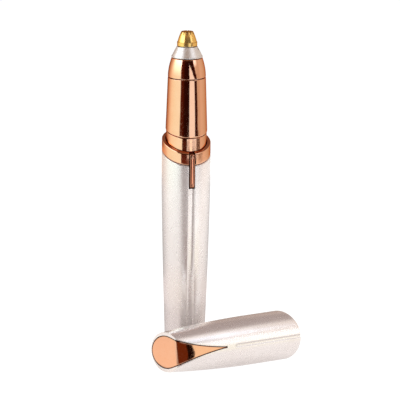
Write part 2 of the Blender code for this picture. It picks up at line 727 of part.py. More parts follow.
def make_contacts(parent, looks):
    """Plus contact under the chassis floor and the stud that meets the return strip."""
    plate_low = CONTACT_HIGH - CONTACT_PLATE
    head_low = CHASSIS_LOW + CHASSIS_FLOOR + PART_GAP
    plus = [
        (0, CONTACT_HIGH - CONTACT_DEPTH),
        (CONTACT_TIP_RADIUS, CONTACT_HIGH - CONTACT_DEPTH),
        (CONTACT_RADIUS, plate_low),
        (CONTACT_RADIUS, CONTACT_HIGH),
        (RIVET_RADIUS, CONTACT_HIGH),
        (RIVET_RADIUS, head_low),
        (RIVET_HEAD_RADIUS, head_low),
        (RIVET_HEAD_RADIUS, head_low + RIVET_HEAD_HEIGHT),
        (0, head_low + RIVET_HEAD_HEIGHT),
    ]
    add_solid("plus_contact", turned(plus, SMALL_SIDES, closed=False), parent, looks["brass"])

    head_back = CHASSIS_BORE - PART_GAP
    strip_inside = BODY_RADIUS - BARREL_WALL - PART_GAP - STRIP_THICK
    stud = [
        (0, head_back - STUD_HEAD_HEIGHT),
        (STUD_HEAD_RADIUS, head_back - STUD_HEAD_HEIGHT),
        (STUD_HEAD_RADIUS, head_back),
        (STUD_RADIUS, head_back),
        (STUD_RADIUS, strip_inside - PART_GAP),
        (0, strip_inside - PART_GAP),
    ]
    shape = turned_along_y(stud, 0, CHASSIS_LOW + STUD_RISE)
    add_solid("return_stud", shape, parent, looks["brass"])


def make_plug_seal(parent, looks):
    """Friction ring in the groove of the chassis."""
    middle = CHASSIS_RADIUS - SEAL_GROOVE_DEPTH + RUN_GAP / 2 + SEAL_WIRE
    add_solid("plug_seal", round_ring(middle, SEAL_WIRE, CHASSIS_LOW + SEAL_RISE), parent, looks["rubber"])


def round_ring(middle, radius, height):
    """Ring of round section about the axis."""
    turns = [math.tau * step / SEAL_SIDES for step in range(SEAL_SIDES)]
    section = [(middle + radius * math.cos(turn), height + radius * math.sin(turn)) for turn in turns]
    return turned(section, FINE_SIDES)


def make_board(parent, looks):
    """Circuit board, the switch on it and the two screws that hold it to the bosses."""
    low = CHASSIS_LOW + CHASSIS_FLOOR + BOARD_MARGIN + RIVET_HEAD_HEIGHT
    high = CHASSIS_HIGH - CHASSIS_SPIGOT_WALL - BOARD_MARGIN
    plate = block(even(BOARD_WIDTH), (BOARD_FRONT, BOARD_BACK), (low, high))
    board = add_solid("circuit_board", plate, parent, looks["board"])
    height = CHASSIS_LOW + BOSS_RISE
    hole = pin(SCREW_RADIUS + PART_GAP, BOARD_FRONT - OVERRUN, BOARD_BACK + OVERRUN)
    head_back = BOARD_FRONT - PART_GAP
    screw = [
        (0, head_back - SCREW_HEAD_HEIGHT),
        (SCREW_HEAD_RADIUS, head_back - SCREW_HEAD_HEIGHT),
        (SCREW_HEAD_RADIUS, head_back),
        (SCREW_RADIUS, head_back),
        (SCREW_RADIUS, BOARD_BACK + SCREW_LENGTH),
        (0, BOARD_BACK + SCREW_LENGTH),
    ]
    for x, side in ((-BOSS_SPREAD, "left"), (BOSS_SPREAD, "right")):
        change_with(board, "board_hole_cut", turned_along_y(hole, x, height))
        add_solid("board_screw_" + side, turned_along_y(screw, x, height), parent, looks["steel"])
    span = (STEM_LOW, STEM_HIGH + SWITCH_TRAVEL)
    body = block(even(SWITCH_WIDTH), (SWITCH_FRONT, SWITCH_BACK), span)
    add_solid("switch_block", body, parent, looks["black_plastic"])


def make_switch(parent, looks):
    """Bar in the slot with its stem, the carriage behind it and the wiper on its back."""
    face = -(BODY_RADIUS + BAR_RISE)
    back = -(BODY_RADIUS - BARREL_WALL + RUN_GAP / 2)
    low_face = BAR_LOW + BAR_END_LENGTH
    high_face = BAR_HIGH - BAR_END_LENGTH
    dip = face + BAR_END_DROP
    half = BAR_WIDTH / 2
    inset = half - BAR_FLANK
    rings = []
    for z, front in ((BAR_LOW, dip), (low_face, face), (high_face, face), (BAR_HIGH, dip)):
        right = [(inset, front, z), (half, front + BAR_FLANK, z), (half, back, z)]
        rings.append([(-x, y, z) for x, y, z in right[::-1]] + right)
    bar = add_solid("switch_bar", lofted(rings), parent, looks["rose_gold"])
    stem = block(even(STEM_WIDTH), (back - RUN_GAP, STEM_BACK), (STEM_LOW, STEM_HIGH))
    change_with(bar, "stem", stem, "UNION")

    span = (STEM_LOW - CARRIAGE_MARGIN, STEM_HIGH - PART_GAP)
    carriage = block(even(CARRIAGE_WIDTH), (CARRIAGE_FRONT, CARRIAGE_BACK), span)
    add_solid("switch_carriage", carriage, parent, looks["white_plastic"])

    middle = (STEM_LOW + STEM_HIGH) / 2
    bend = WIPER_BEND
    wiper = [
        (WIPER_FRONT, STEM_LOW),
        (WIPER_FRONT + bend, middle),
        (WIPER_FRONT, STEM_HIGH),
        (WIPER_FRONT + WIPER_THICK, STEM_HIGH),
        (WIPER_FRONT + WIPER_THICK + bend, middle),
        (WIPER_FRONT + WIPER_THICK, STEM_LOW),
    ]
    add_solid("switch_wiper", extruded(wiper, WIPER_WIDTH), parent, looks["brass"])


def make_motor(parent, looks):
    """Round can with two flats, its plastic end, two terminals, leads and a split cradle."""
    bore = SHAFT_RADIUS + PART_GAP
    boss_high = MOTOR_HIGH + MOTOR_BOSS_HEIGHT
    can = [
        (bore, MOTOR_LOW),
        (MOTOR_RADIUS, MOTOR_LOW),
        (MOTOR_RADIUS, MOTOR_HIGH - MOTOR_EDGE),
        (MOTOR_RADIUS - MOTOR_EDGE, MOTOR_HIGH),
        (MOTOR_BOSS_RADIUS, MOTOR_HIGH),
        (MOTOR_BOSS_RADIUS, boss_high),
        (bore, boss_high),
    ]
    body = add_solid("motor_can", turned(can, FINE_SIDES), parent, looks["steel"])
    rise = (MOTOR_LOW - OVERRUN, boss_high + OVERRUN)
    for side in (-1, 1):
        reach = sorted((side * (MOTOR_RADIUS - MOTOR_FLAT_CUT), side * (MOTOR_RADIUS + OVERRUN)))
        change_with(body, "motor_flat_cut", block(reach, even(2 * MOTOR_RADIUS + OVERRUN), rise))

    end = pin(MOTOR_RADIUS - MOTOR_CAP_STEP, MOTOR_CAP_LOW, MOTOR_CAP_HIGH)
    shape = turned(end, FINE_SIDES, closed=False)
    add_solid("motor_end_cap", shape, parent, looks["white_plastic"])

    high = MOTOR_CAP_LOW - PART_GAP
    low = high - TERMINAL_LENGTH
    lead_low = CHASSIS_HIGH - CHASSIS_SPIGOT_WALL - BOARD_MARGIN + PART_GAP
    sides = ((-TERMINAL_SPREAD, "left", "lead_red"), (TERMINAL_SPREAD, "right", "lead_black"))
    for x, side, colour in sides:
        span = (x - TERMINAL_THICK / 2, x + TERMINAL_THICK / 2)
        terminal = block(span, even(TERMINAL_WIDTH), (low, high))
        add_solid("motor_terminal_" + side, terminal, parent, looks["brass"])
        start = Vector((x, (BOARD_FRONT + BOARD_BACK) / 2, lead_low))
        finish = Vector((x, 0, low - PART_GAP))
        pull = Vector((0, 0, (finish.z - start.z) / 2))
        points = interpolate_bezier(start, start + pull, finish - pull, finish, LEAD_STEPS)
        wire("motor_lead_" + side, points, LEAD_RADIUS, parent, looks[colour])

    low = SEAT_SPIGOT_HIGH + NECK_SLOPE * SEAT_BORE + PART_GAP
    high = low + CRADLE_LENGTH
    outer = neck_radius(high) - NECK_WALL - RUN_GAP
    sleeve = tube(low, high, outer, MOTOR_RADIUS + RUN_GAP)
    cradle = add_solid("motor_cradle", sleeve, parent, looks["black_plastic"])
    slit = block(even(CRADLE_SLIT), (0, outer + OVERRUN), (low - OVERRUN, high + OVERRUN))
    change_with(cradle, "cradle_slit_cut", slit)


def make_head_spigot(parent, looks):
    """Closing disc of the neck with the tube that the head slides over, and its seal."""
    flange = NECK_HIGH_RADIUS - NECK_WALL - RUN_GAP
    outer = head_radius(SPIGOT_HIGH) - HEAD_WALL - SPIGOT_FIT
    seal_height = NECK_HIGH + (SPIGOT_HIGH - NECK_HIGH) * HEAD_SEAL_SHARE
    groove = outer - HEAD_SEAL_SINK
    hole = MOTOR_BOSS_RADIUS + PART_GAP
    profile = [
        (hole, SPIGOT_LOW),
        (flange, SPIGOT_LOW),
        (flange, NECK_HIGH),
        (outer, NECK_HIGH),
        (outer, seal_height - HEAD_SEAL_WIRE - RUN_GAP / 2),
        (groove, seal_height - HEAD_SEAL_WIRE - RUN_GAP / 2),
        (groove, seal_height + HEAD_SEAL_WIRE + RUN_GAP / 2),
        (outer, seal_height + HEAD_SEAL_WIRE + RUN_GAP / 2),
        (outer, SPIGOT_HIGH),
        (SPIGOT_BORE_RADIUS, SPIGOT_HIGH),
        (SPIGOT_BORE_RADIUS, SPIGOT_LOW + SPIGOT_FLOOR),
        (hole, SPIGOT_LOW + SPIGOT_FLOOR),
    ]
    add_solid("head_spigot", turned(profile, MID_SIDES), parent, looks["white_plastic"])
    ring = round_ring(groove + RUN_GAP / 2 + HEAD_SEAL_WIRE, HEAD_SEAL_WIRE, seal_height)
    add_solid("head_seal", ring, parent, looks["rubber"])


def make_drive(parent, looks):
    """Motor shaft with the slotted socket that turns the cutter, and the spring in it."""
    shaft = pin(SHAFT_RADIUS, MOTOR_LOW + PART_GAP, SOCKET_LOW + SOCKET_SHAFT_DEPTH)
    add_solid("motor_shaft", turned(shaft, SMALL_SIDES, closed=False), parent, looks["steel"])

    hole = SHAFT_RADIUS + PART_GAP
    pocket = DRIVE_SPRING_RADIUS + DRIVE_SPRING_WIRE + RUN_GAP
    profile = [
        (0, SOCKET_LOW + SOCKET_FLOOR),
        (pocket, SOCKET_LOW + SOCKET_FLOOR),
        (pocket, SOCKET_HIGH),
        (SOCKET_RADIUS, SOCKET_HIGH),
        (SOCKET_RADIUS, SOCKET_LOW),
        (hole, SOCKET_LOW),
        (hole, SOCKET_LOW + SOCKET_SHAFT_DEPTH + RUN_GAP / 2),
        (0, SOCKET_LOW + SOCKET_SHAFT_DEPTH + RUN_GAP / 2),
    ]
    body = turned(profile, FINE_SIDES, closed=False)
    socket = add_solid("drive_socket", body, parent, looks["white_plastic"])
    width = TONGUE_WIDTH + 2 * PART_GAP
    thick = TONGUE_THICK + 2 * PART_GAP
    slot = block(even(width), even(thick), (SLOT_FLOOR, SOCKET_HIGH + OVERRUN))
    change_with(socket, "socket_slot_cut", slot)

    low = SOCKET_LOW + SOCKET_FLOOR + RUN_GAP / 2 + DRIVE_SPRING_WIRE
    high = TONGUE_LOW - RUN_GAP / 2 - DRIVE_SPRING_WIRE
    points = coil_points(low, high, DRIVE_SPRING_RADIUS, DRIVE_SPRING_RADIUS, DRIVE_SPRING_TURNS)
    wire("drive_spring", points, DRIVE_SPRING_WIRE, parent, looks["spring_steel"])


def make_cutter(parent, looks):
    """Shaft with a flat tongue below and the bladed rotor on its spindle above."""
    collar_high = TONGUE_HIGH + CUTTER_COLLAR_HEIGHT
    hub_high = GUARD_HIGH - GUARD_WALL - PART_GAP
    hub_low = CORE_FLANGE_HIGH + CUTTER_HUB_RISE
    bore_high = hub_high - BLADE_ROOT - CUTTER_HUB_TOP
    spindle_high = bore_high - PART_GAP
    shaft = [
        (0, TONGUE_HIGH),
        (CUTTER_COLLAR_RADIUS, TONGUE_HIGH),
        (CUTTER_COLLAR_RADIUS, collar_high),
        (CUTTER_SHAFT_RADIUS, collar_high),
        (CUTTER_SHAFT_RADIUS, hub_low - PART_GAP),
        (SPINDLE_RADIUS, hub_low - PART_GAP),
        (SPINDLE_RADIUS, spindle_high),
        (0, spindle_high),
    ]
    item = add_solid("cutter_shaft", turned(shaft, FINE_SIDES, closed=False), parent, looks["steel"])
    rise = (TONGUE_LOW, TONGUE_HIGH + CUTTER_COLLAR_HEIGHT / 2)
    tongue = block(even(TONGUE_WIDTH), even(TONGUE_THICK), rise)
    change_with(item, "tongue", tongue, "UNION")

    bore = SPINDLE_RADIUS + RUN_GAP
    hub = [
        (0, bore_high),
        (bore, bore_high),
        (bore, hub_low),
        (CUTTER_HUB_RADIUS, hub_low),
        (CUTTER_HUB_RADIUS, hub_high - BLADE_ROOT),
        (0, hub_high - BLADE_ROOT),
    ]
    rotor = add_solid("rotary_cutter", turned(hub, FINE_SIDES, closed=False), parent, looks["blade_steel"])
    low = hub_high - BLADE_HEIGHT
    root = CUTTER_HUB_RADIUS - BLADE_ROOT
    reach = guard_radius(low + BLADE_ROOT) - GUARD_WALL - BLADE_CLEARANCE
    top_reach = guard_radius(hub_high) - GUARD_WALL - BLADE_CLEARANCE
    outline = [
        (root, low),
        (reach, low),
        (reach, low + BLADE_ROOT),
        (top_reach, hub_high),
        (root, hub_high),
    ]
    for step in range(CUTTER_BLADES):
        blade = turned_about_z(extruded(outline, BLADE_THICK), math.tau * step / CUTTER_BLADES)
        change_with(rotor, "blade", blade, "UNION")


def make_head(parent, looks):
    """Head shell, the core that carries the cutter, the silver bezel and the slotted guard."""
    outer = [(head_radius(z), z) for z in spread(HEAD_LOW, HEAD_HIGH, HEAD_RINGS)]
    under_plate = HEAD_HIGH - HEAD_WALL
    inner = [(head_radius(z) - HEAD_WALL, z) for z in spread(HEAD_LOW, under_plate, HEAD_INNER_RINGS)]
    hole = CORE_TUBE_RADIUS + PART_GAP
    profile = outer + [(hole, HEAD_HIGH), (hole, under_plate)] + inner[::-1]
    add_solid("head_shell", turned(profile), parent, looks["rose_gold"])

    bore = CUTTER_SHAFT_RADIUS + RUN_GAP
    plate = head_radius(CORE_LOW + CORE_PLATE) - HEAD_WALL - PART_GAP
    core = [
        (bore, CORE_LOW),
        (plate, CORE_LOW),
        (plate, CORE_LOW + CORE_PLATE),
        (CORE_TUBE_RADIUS, CORE_LOW + CORE_PLATE),
        (CORE_TUBE_RADIUS, GUARD_LOW),
        (CORE_FLANGE_RADIUS, GUARD_LOW),
        (CORE_FLANGE_RADIUS, CORE_FLANGE_HIGH),
        (bore, CORE_FLANGE_HIGH),
    ]
    add_solid("head_core", turned(core, FINE_SIDES), parent, looks["white_plastic"])

    lip = HEAD_TOP_RADIUS + BEZEL_LIP
    top_bore = CORE_FLANGE_RADIUS + RUN_GAP
    bezel_outline = [
        (top_bore, BEZEL_LOW + BEZEL_LIP_HEIGHT),
        (HEAD_TOP_RADIUS - BEZEL_WALL, BEZEL_LOW),
        (lip, BEZEL_LOW),
        (lip, BEZEL_LOW + BEZEL_LIP_HEIGHT),
        (HEAD_TOP_RADIUS - BEZEL_LIP, BEZEL_LOW + BEZEL_LIP_HEIGHT),
        (BEZEL_TOP_RADIUS, BEZEL_HIGH),
        (top_bore, BEZEL_HIGH),
    ]
    bezel = add_solid("bezel_cone", turned(bezel_outline), parent, looks["silver"])
    rise = DIMPLE_HEIGHT_SHARE * BEZEL_HEIGHT
    side = HEAD_TOP_RADIUS - (HEAD_TOP_RADIUS - BEZEL_TOP_RADIUS) * DIMPLE_HEIGHT_SHARE
    run = pin(DIMPLE_RADIUS, -(side + OVERRUN), -(side - DIMPLE_DEPTH))
    dimple = turned_about_z(turned_along_y(run, 0, BEZEL_LOW + rise), DIMPLE_TURN)
    change_with(bezel, "dimple_cut", dimple)

    band_high = GUARD_LOW + GUARD_BAND_HEIGHT
    heights = spread(band_high, GUARD_HIGH - GUARD_EDGE, GUARD_RINGS)
    outside = [(guard_radius(z), z) for z in heights]
    top_inner = guard_radius(GUARD_HIGH - GUARD_WALL) - GUARD_WALL
    inside = [(guard_radius(z) - GUARD_WALL, z) for z in heights[:-1]]
    guard = [(GUARD_RADIUS - GUARD_WALL, GUARD_LOW), (GUARD_RADIUS, GUARD_LOW)]
    guard += [(GUARD_RADIUS, band_high - GUARD_BAND_STEP)] + outside
    guard += [(guard_radius(GUARD_HIGH) - GUARD_EDGE, GUARD_HIGH), (0, GUARD_HIGH)]
    guard += [(0, GUARD_HIGH - GUARD_WALL), (top_inner, GUARD_HIGH - GUARD_WALL)] + inside[::-1]
    shape = guard_body(guard)
    item = add_solid("guard_tip", shape, parent, looks["gold"])
    reach = (GUARD_SLOT_START, GUARD_RADIUS + OVERRUN)
    rise = (GUARD_HIGH - GUARD_SLOT_DEPTH, GUARD_HIGH + OVERRUN)
    slots = []
    for step in range(GUARD_SLOTS):
        slot = block(even(GUARD_SLOT_WIDTH), reach, rise)
        slots.append(turned_about_z(slot, math.tau * (step + 1 / 2) / GUARD_SLOTS))
    change_with(item, "guard_slots_cut", joined(slots))


def guard_body(profile):
    """Cup with its open side down: the profile's inner and outer runs both meet the axis."""
    start = next(index for index, (radius, _) in enumerate(profile) if radius == 0)
    run = profile[start + 1:] + profile[:start + 1]
    return turned(run, MID_SIDES, closed=False)


def scoop_run():
    """Side view of the scooped end: (reach towards the scoop, distance from the closed end)."""
    start = CAP_END_RADIUS * SCOOP_START_SHARE
    bend = CAP_END_RADIUS * SCOOP_BEND_SHARE
    tail_radius = cap_radius(SCOOP_LENGTH)
    corners = [
        Vector((start, start * CAP_END_SLOPE)),
        Vector((bend, bend * CAP_END_SLOPE)),
        Vector((tail_radius * SCOOP_TAIL_SHARES[0], SCOOP_LENGTH * SCOOP_TAIL_SHARES[1])),
        Vector((tail_radius, SCOOP_LENGTH)),
    ]
    return interpolate_bezier(*corners, SCOOP_STEPS)


def along(path, distance):
    """Point and direction on a path of straight runs, at a distance from its start."""
    for near, far in zip(path, path[1:]):
        direction = (far - near).normalized()
        length = (far - near).length
        if distance < length:
            break
        distance -= length
    else:
        distance += length
    return near + direction * distance, direction


def teardrop_stations(grow):
    """Places along the scoop as (point, direction, half width), from the round end to the tail."""
    flat = Vector((1, CAP_END_SLOPE)).normalized()
    across = CAP_END_RADIUS - RIM_SIDE
    end_reach = cap_radius(-CAP_END_RADIUS * CAP_END_SLOPE) / flat.x
    stations = []
    for step in range(1, INSERT_ROUND_STEPS):
        turn = QUARTER * step / INSERT_ROUND_STEPS
        back = (end_reach - RIM_BACK + grow) * math.cos(turn)
        stations.append((-flat * back, flat, (across + grow) * math.sin(turn)))
    path = [Vector((0, 0))] + scoop_run()
    corners = [
        Vector((0, across)),
        Vector((TAIL_LENGTH * TAIL_ROUND_SHARE, across)),
        Vector((TAIL_LENGTH * TAIL_NARROW_SHARES[0], across * TAIL_NARROW_SHARES[1])),
        Vector((TAIL_LENGTH, 0)),
    ]
    for distance, half in interpolate_bezier(*corners, TAIL_STEPS):
        point, direction = along(path, distance)
        stations.append((point, direction, max(half, INSERT_TAIL) + grow))
    point, direction, half = stations[-1]
    stations[-1] = (point + direction * grow, direction, half)
    return stations


def teardrop_plate(grow, top, thick):
    """Plate that follows the scoop: top is its height over the scoop, thick goes into the cap."""
    rings = []
    for point, direction, half in teardrop_stations(grow):
        out = Vector((direction.y, -direction.x))
        upper = point + out * top
        lower = point + out * (top - thick)
        right = [(half, -upper.x, upper.y), (half, -lower.x, lower.y)]
        rings.append([(-x, y, z) for x, y, z in right[::-1]] + right)
    return lofted(rings)


def make_cap(parent, looks):
    """Cap with a slanted mouth, a scooped closed end and the teardrop plate set into it."""
    back = -CAP_END_RADIUS * CAP_END_SLOPE - OVERRUN
    outer = [(cap_radius(u), u) for u in spread(back, CAP_TAPER, CAP_RINGS)]
    outer += [(BODY_RADIUS, CAP_LENGTH - CAP_LEAN_LENGTH), (BODY_RADIUS, CAP_LENGTH - CAP_MOUTH_EDGE)]
    outer += [(BODY_RADIUS - CAP_MOUTH_EDGE, CAP_LENGTH)]
    bore = BODY_RADIUS - CAP_WALL
    floor = CAP_END_LENGTH
    inner = []
    for rise in spread(0, CAVITY_TAPER, CAVITY_RINGS):
        radius = taper(bore, CAVITY_END_RADIUS, CAVITY_TAPER, CAVITY_TAPER_POWER, rise)
        inner.append((radius, floor + rise))
    inner += [(bore, CAP_LENGTH - CAP_LEAN_LENGTH), (bore, CAP_LENGTH - CAP_MOUTH_EDGE)]
    inner += [(bore + CAP_MOUTH_EDGE, CAP_LENGTH)]
    shape = turned([(0, back)] + outer + inner[::-1] + [(0, floor)], closed=False)
    lean(shape, CAP_LENGTH - CAP_LEAN_LENGTH, CAP_LENGTH - CAP_MOUTH_EDGE, -PARTING_SLOPE, -PARTING_BOW)
    shell = add_solid("cap_shell", shape, parent, looks["pearl"])

    far = BODY_RADIUS + OVERRUN
    edge = [(far, SCOOP_LENGTH), (far, back - far), (-far, back - far), (-far, -far * CAP_END_SLOPE)]
    outline = [(point.x, point.y) for point in scoop_run()] + edge
    scoop = extruded([(-reach, u) for reach, u in outline], 2 * far)
    change_with(shell, "scoop_cut", scoop)
    pocket_depth = INSERT_SINK + INSERT_THICK + PART_GAP
    pocket = teardrop_plate(INSERT_SEAM, OVERRUN, OVERRUN + pocket_depth)
    change_with(shell, "pocket_cut", pocket)

    stations = []
    start = SCOOP_LENGTH - CAP_GROOVE_RUN_IN
    for u in spread(start, CAP_TAPER, CAP_RINGS // 2) + [CAP_LENGTH + BODY_RADIUS]:
        depth = CAP_GROOVE_DEPTH * min((u - start) / CAP_GROOVE_RUN_IN, 1)
        stations.append((-(cap_radius(u) + CAP_GROOVE_RADIUS - depth), u, CAP_GROOVE_RADIUS))
    change_with(shell, "cap_groove_cut", round_rod(stations))

    add_solid("cap_insert", teardrop_plate(0, -INSERT_SINK, INSERT_THICK), parent, looks["rose_gold"])


def main():
    clear_scene()
    looks = {
        "pearl": look("pearl", (0.90, 0.84, 0.81), 0.30, 0.15),
        "rose_gold": look("rose_gold", (0.85, 0.47, 0.30), 0.12, 1.0),
        "gold": look("gold", (0.83, 0.55, 0.12), 0.15, 1.0),
        "silver": look("silver", (0.78, 0.77, 0.76), 0.25, 0.9),
        "steel": look("steel", (0.55, 0.55, 0.56), 0.35, 1.0),
        "blade_steel": look("blade_steel", (0.65, 0.65, 0.66), 0.20, 1.0),
        "spring_steel": look("spring_steel", (0.60, 0.60, 0.58), 0.30, 1.0),
        "brass": look("brass", (0.75, 0.58, 0.25), 0.30, 1.0),
        "black_plastic": look("black_plastic", (0.03, 0.03, 0.03), 0.50),
        "white_plastic": look("white_plastic", (0.80, 0.80, 0.78), 0.45),
        "rubber": look("rubber", (0.05, 0.05, 0.05), 0.80),
        "board": look("board", (0.04, 0.22, 0.09), 0.50),
        "cell": look("cell", (0.12, 0.12, 0.13), 0.35, 0.6),
        "lead_red": look("lead_red", (0.55, 0.03, 0.03), 0.50),
        "lead_black": look("lead_black", (0.03, 0.03, 0.03), 0.50),
    }
    trimmer = add_empty("trimmer_axis", Matrix.Rotation(TRIMMER_TURN, 4, "Z"))
    for make in (
        make_barrel,
        make_battery,
        make_ring,
        make_seat,
        make_neck,
        make_chassis,
        make_contacts,
        make_plug_seal,
        make_board,
        make_switch,
        make_motor,
        make_head_spigot,
        make_drive,
        make_head,
        make_cutter,
    ):
        make(trimmer, looks)

    place = Matrix.Translation((*CAP_END_PLACE, BODY_RADIUS + FLOOR_GAP))
    lying = Matrix.Rotation(QUARTER, 4, "Y") @ Matrix.Rotation(-CAP_ROLL, 4, "Z")
    make_cap(add_empty("cap_axis", place @ lying), looks)


main()
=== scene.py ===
"""Looks of a pen-shaped electric eyebrow trimmer and its cap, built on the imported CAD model.

Every outer piece is worked out again as a fine surface from the same sizes, and the pieces
inside keep their CAD meshes and get finishes.  The trimmer's own frame has its axis upright
and its switch on the -Y side; the cap's own frame has its closed end at zero, its mouth
upwards and its scoop on the -Y side.
"""

import math

import bmesh
import bpy
import numpy as np
from bpy.props import FloatProperty, FloatVectorProperty, PointerProperty
from mathutils import Matrix, Vector


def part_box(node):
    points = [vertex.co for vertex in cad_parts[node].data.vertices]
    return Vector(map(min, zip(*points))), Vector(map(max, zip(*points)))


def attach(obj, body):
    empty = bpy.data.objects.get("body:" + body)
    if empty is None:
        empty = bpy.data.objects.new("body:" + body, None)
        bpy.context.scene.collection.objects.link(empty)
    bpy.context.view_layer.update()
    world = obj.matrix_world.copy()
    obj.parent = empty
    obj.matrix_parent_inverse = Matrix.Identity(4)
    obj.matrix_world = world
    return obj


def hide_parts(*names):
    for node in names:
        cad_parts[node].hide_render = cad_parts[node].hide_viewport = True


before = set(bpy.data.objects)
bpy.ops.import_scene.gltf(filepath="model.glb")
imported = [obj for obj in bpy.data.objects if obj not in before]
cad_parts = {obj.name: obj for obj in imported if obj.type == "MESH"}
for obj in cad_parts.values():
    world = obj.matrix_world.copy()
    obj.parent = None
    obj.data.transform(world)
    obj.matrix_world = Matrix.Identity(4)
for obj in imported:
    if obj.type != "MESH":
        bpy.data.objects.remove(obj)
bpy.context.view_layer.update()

bl_info = {
    "name": "Eyebrow trimmer",
    "version": (1, 0, 0),
    "blender": (4, 5, 0),
    "location": "View3D > Sidebar > Trimmer",
    "description": "Shells, finishes and studio of an electric eyebrow trimmer with its cap",
    "category": "Object",
}

MM = 0.001
WELD = 0.0002 * MM
CREASE = math.radians(35)
BEVEL_LIMIT = math.radians(50)
SIDES = 240
TINY = 1e-6
PART_GAP = 0.3 * MM
RUN_GAP = 0.25 * MM

# Barrel
BARREL_STRAIGHT = 10.7 * MM
BARREL_TAPER_POWER = 1.35
BARREL_WALL = 1.1 * MM
BARREL_FLOOR = 1.4 * MM
BARREL_FOOT_EDGE = 0.4 * MM
BARREL_RIM = 0.15 * MM
LEAN_LENGTH = 7.0 * MM
GROOVE_RADIUS = 2.0 * MM
GROOVE_SOFT = 0.05 * MM
SLOT_WIDTH = 2.2 * MM
# Reach in degrees and number of the closer columns round a slot or the dimple
BARREL_FINE, RING_FINE, DIMPLE_FINE = (14, 66), (20, 30), (9, 30)

# Ring, seat and neck
RING_EDGE = 0.32 * MM
RING_BEVEL = 0.05 * MM
# Painted shade in the ring's bore: where it starts below the top, and how deep it fades in
RING_SHADE_START = 0.3 * MM
RING_SHADE_DEPTH = 1.0 * MM
SEAT_STEP = 1.4 * MM
SEAT_DEPTH = 2.1 * MM
SEAT_WALL = 1.5 * MM
# Height of the painted shade on the seat just over the ring
SEAT_SHADE = 0.15 * MM
SEAT_SPIGOT_LENGTH = 2.95 * MM
SEAT_ROW = 0.16 * MM
SEAT_CUTS = np.array([0.1, 0.2, 0.1, 0.05, 0.1, 0.1]) * MM
NECK_STEP = 0.18 * MM
NECK_TAPER = 0.65 * MM
NECK_WALL = 0.9 * MM
NECK_EDGE = 0.15 * MM
NECK_CUTS = np.array([0.05, 2.0, 1.2, 0.05]) * NECK_EDGE
NECK_SLOPE = 0.22
NECK_LEAN_LENGTH = 6.0 * MM
NECK_ROW = 0.4 * MM

# Switch bar
BAR_WIDTH = 1.6 * MM
BAR_RISE = 0.45 * MM
BAR_END_DROP = 0.6 * MM
BAR_END_LENGTH = 0.9 * MM
BAR_END_NARROWING = 0.30
BAR_END_POWER = 2.2
BAR_CROWN_RADIUS = 2.2 * MM
BAR_EDGE = 0.16 * MM
STEM_RISE = 3.2 * MM
STEM_HEIGHT = 2.6 * MM
STEM_WIDTH = 1.2 * MM
STEM_BACK = 5.35 * MM

# Head, bezel and guard
HEAD_RADIUS_STEP = 0.03 * MM
HEAD_TAPER_POWER = 1.9
HEAD_WALL = 0.8 * MM
HEAD_HOLE = 2.7 * MM
HEAD_LOW_EDGE = 0.12 * MM
HEAD_TOP_EDGE = 0.108 * MM
BEZEL_LIP_HEIGHT = 0.3 * MM
BEZEL_LIP = 0.05 * MM
BEZEL_TOP_STEP = 0.08 * MM
BEZEL_WALL = 0.7 * MM
BEZEL_BORE = 3.0 * MM
BEZEL_ROW = 0.08 * MM
BEZEL_CUTS = np.array([0, 0.03, 0.06, 0.04, 0.03, 0.1, 0.06]) * MM
DIMPLE_RADIUS = 0.4 * MM
DIMPLE_DEPTH = 0.25 * MM
DIMPLE_MARGIN = 0.2 * MM
DIMPLE_SOFT_SHARE = 0.3
DIMPLE_TURN = math.radians(60)
DIMPLE_HEIGHT_SHARE = 0.78
GUARD_TOP_RADIUS = 2.05 * MM
GUARD_TAPER_POWER = 1.6
GUARD_EDGE = 0.3 * MM
GUARD_WALL = 0.4 * MM
GUARD_INNER_EDGE = 0.02 * MM
GUARD_BAND_HEIGHT = 1.3 * MM
GUARD_BAND_STEP = 0.08 * MM
GUARD_SLOTS = 12
GUARD_SLOT_WIDTH = 0.3 * MM
GUARD_SLOT_START = 1.0 * MM
GUARD_SLOT_DEPTH = 0.9 * MM

# Cap
CAP_TIP_CLEARANCE = 0.5 * MM
CAP_TAPER = 32.0 * MM
CAP_TAPER_POWER = 1.85
CAP_WALL = 1.0 * MM
CAP_MOUTH_EDGE = 0.2 * MM
CAP_ROW_POWER = 1.25
CAP_LEAN_LENGTH = 9.0 * MM
CAVITY_END_RADIUS = 4.8 * MM
CAVITY_TAPER = 23.8 * MM
CAVITY_TAPER_POWER = 1.9
SCOOP_LENGTH = 22.0 * MM
SCOOP_START_SHARE = 0.64
SCOOP_BEND_SHARE = 0.855
SCOOP_TAIL_SHARES = (0.927, 0.318)
SCOOP_CHORD = 0.15 * MM
RIM_SIDE = 1.4 * MM
RIM_BACK = 0.5 * MM
TAIL_LENGTH = 23.5 * MM
TAIL_ROUND_SHARE = 0.17
TAIL_NARROW_SHARES = (0.34, 0.345)
INSERT_THICK = 0.4 * MM
INSERT_SINK = 0.05 * MM
INSERT_SEAM = 0.25 * MM
INSERT_TAIL = 0.1 * MM
INSERT_EDGE = 0.12 * MM
INSERT_EDGE_DROP = 0.06 * MM
# Width of the painted shade along the teardrop plate's top edges
INSERT_SHADE = 0.22 * MM
INSERT_TAIL_MARGIN = 0.2 * MM
POCKET_DEPTH = INSERT_SINK + INSERT_THICK + PART_GAP
POCKET_END_SHARE = 0.6
CAP_GROOVE_RADIUS = 1.8 * MM
CAP_GROOVE_DEPTH = 0.2 * MM
CAP_GROOVE_SOFT = 0.02 * MM
CAP_GROOVE_RUN_IN = 1.6 * MM
CAP_GROOVE_LEAST = 1e-4 * MM
# Strength of the painted shade along both edges of the cap's groove
GROOVE_PAINTED_SHADE = 0.30

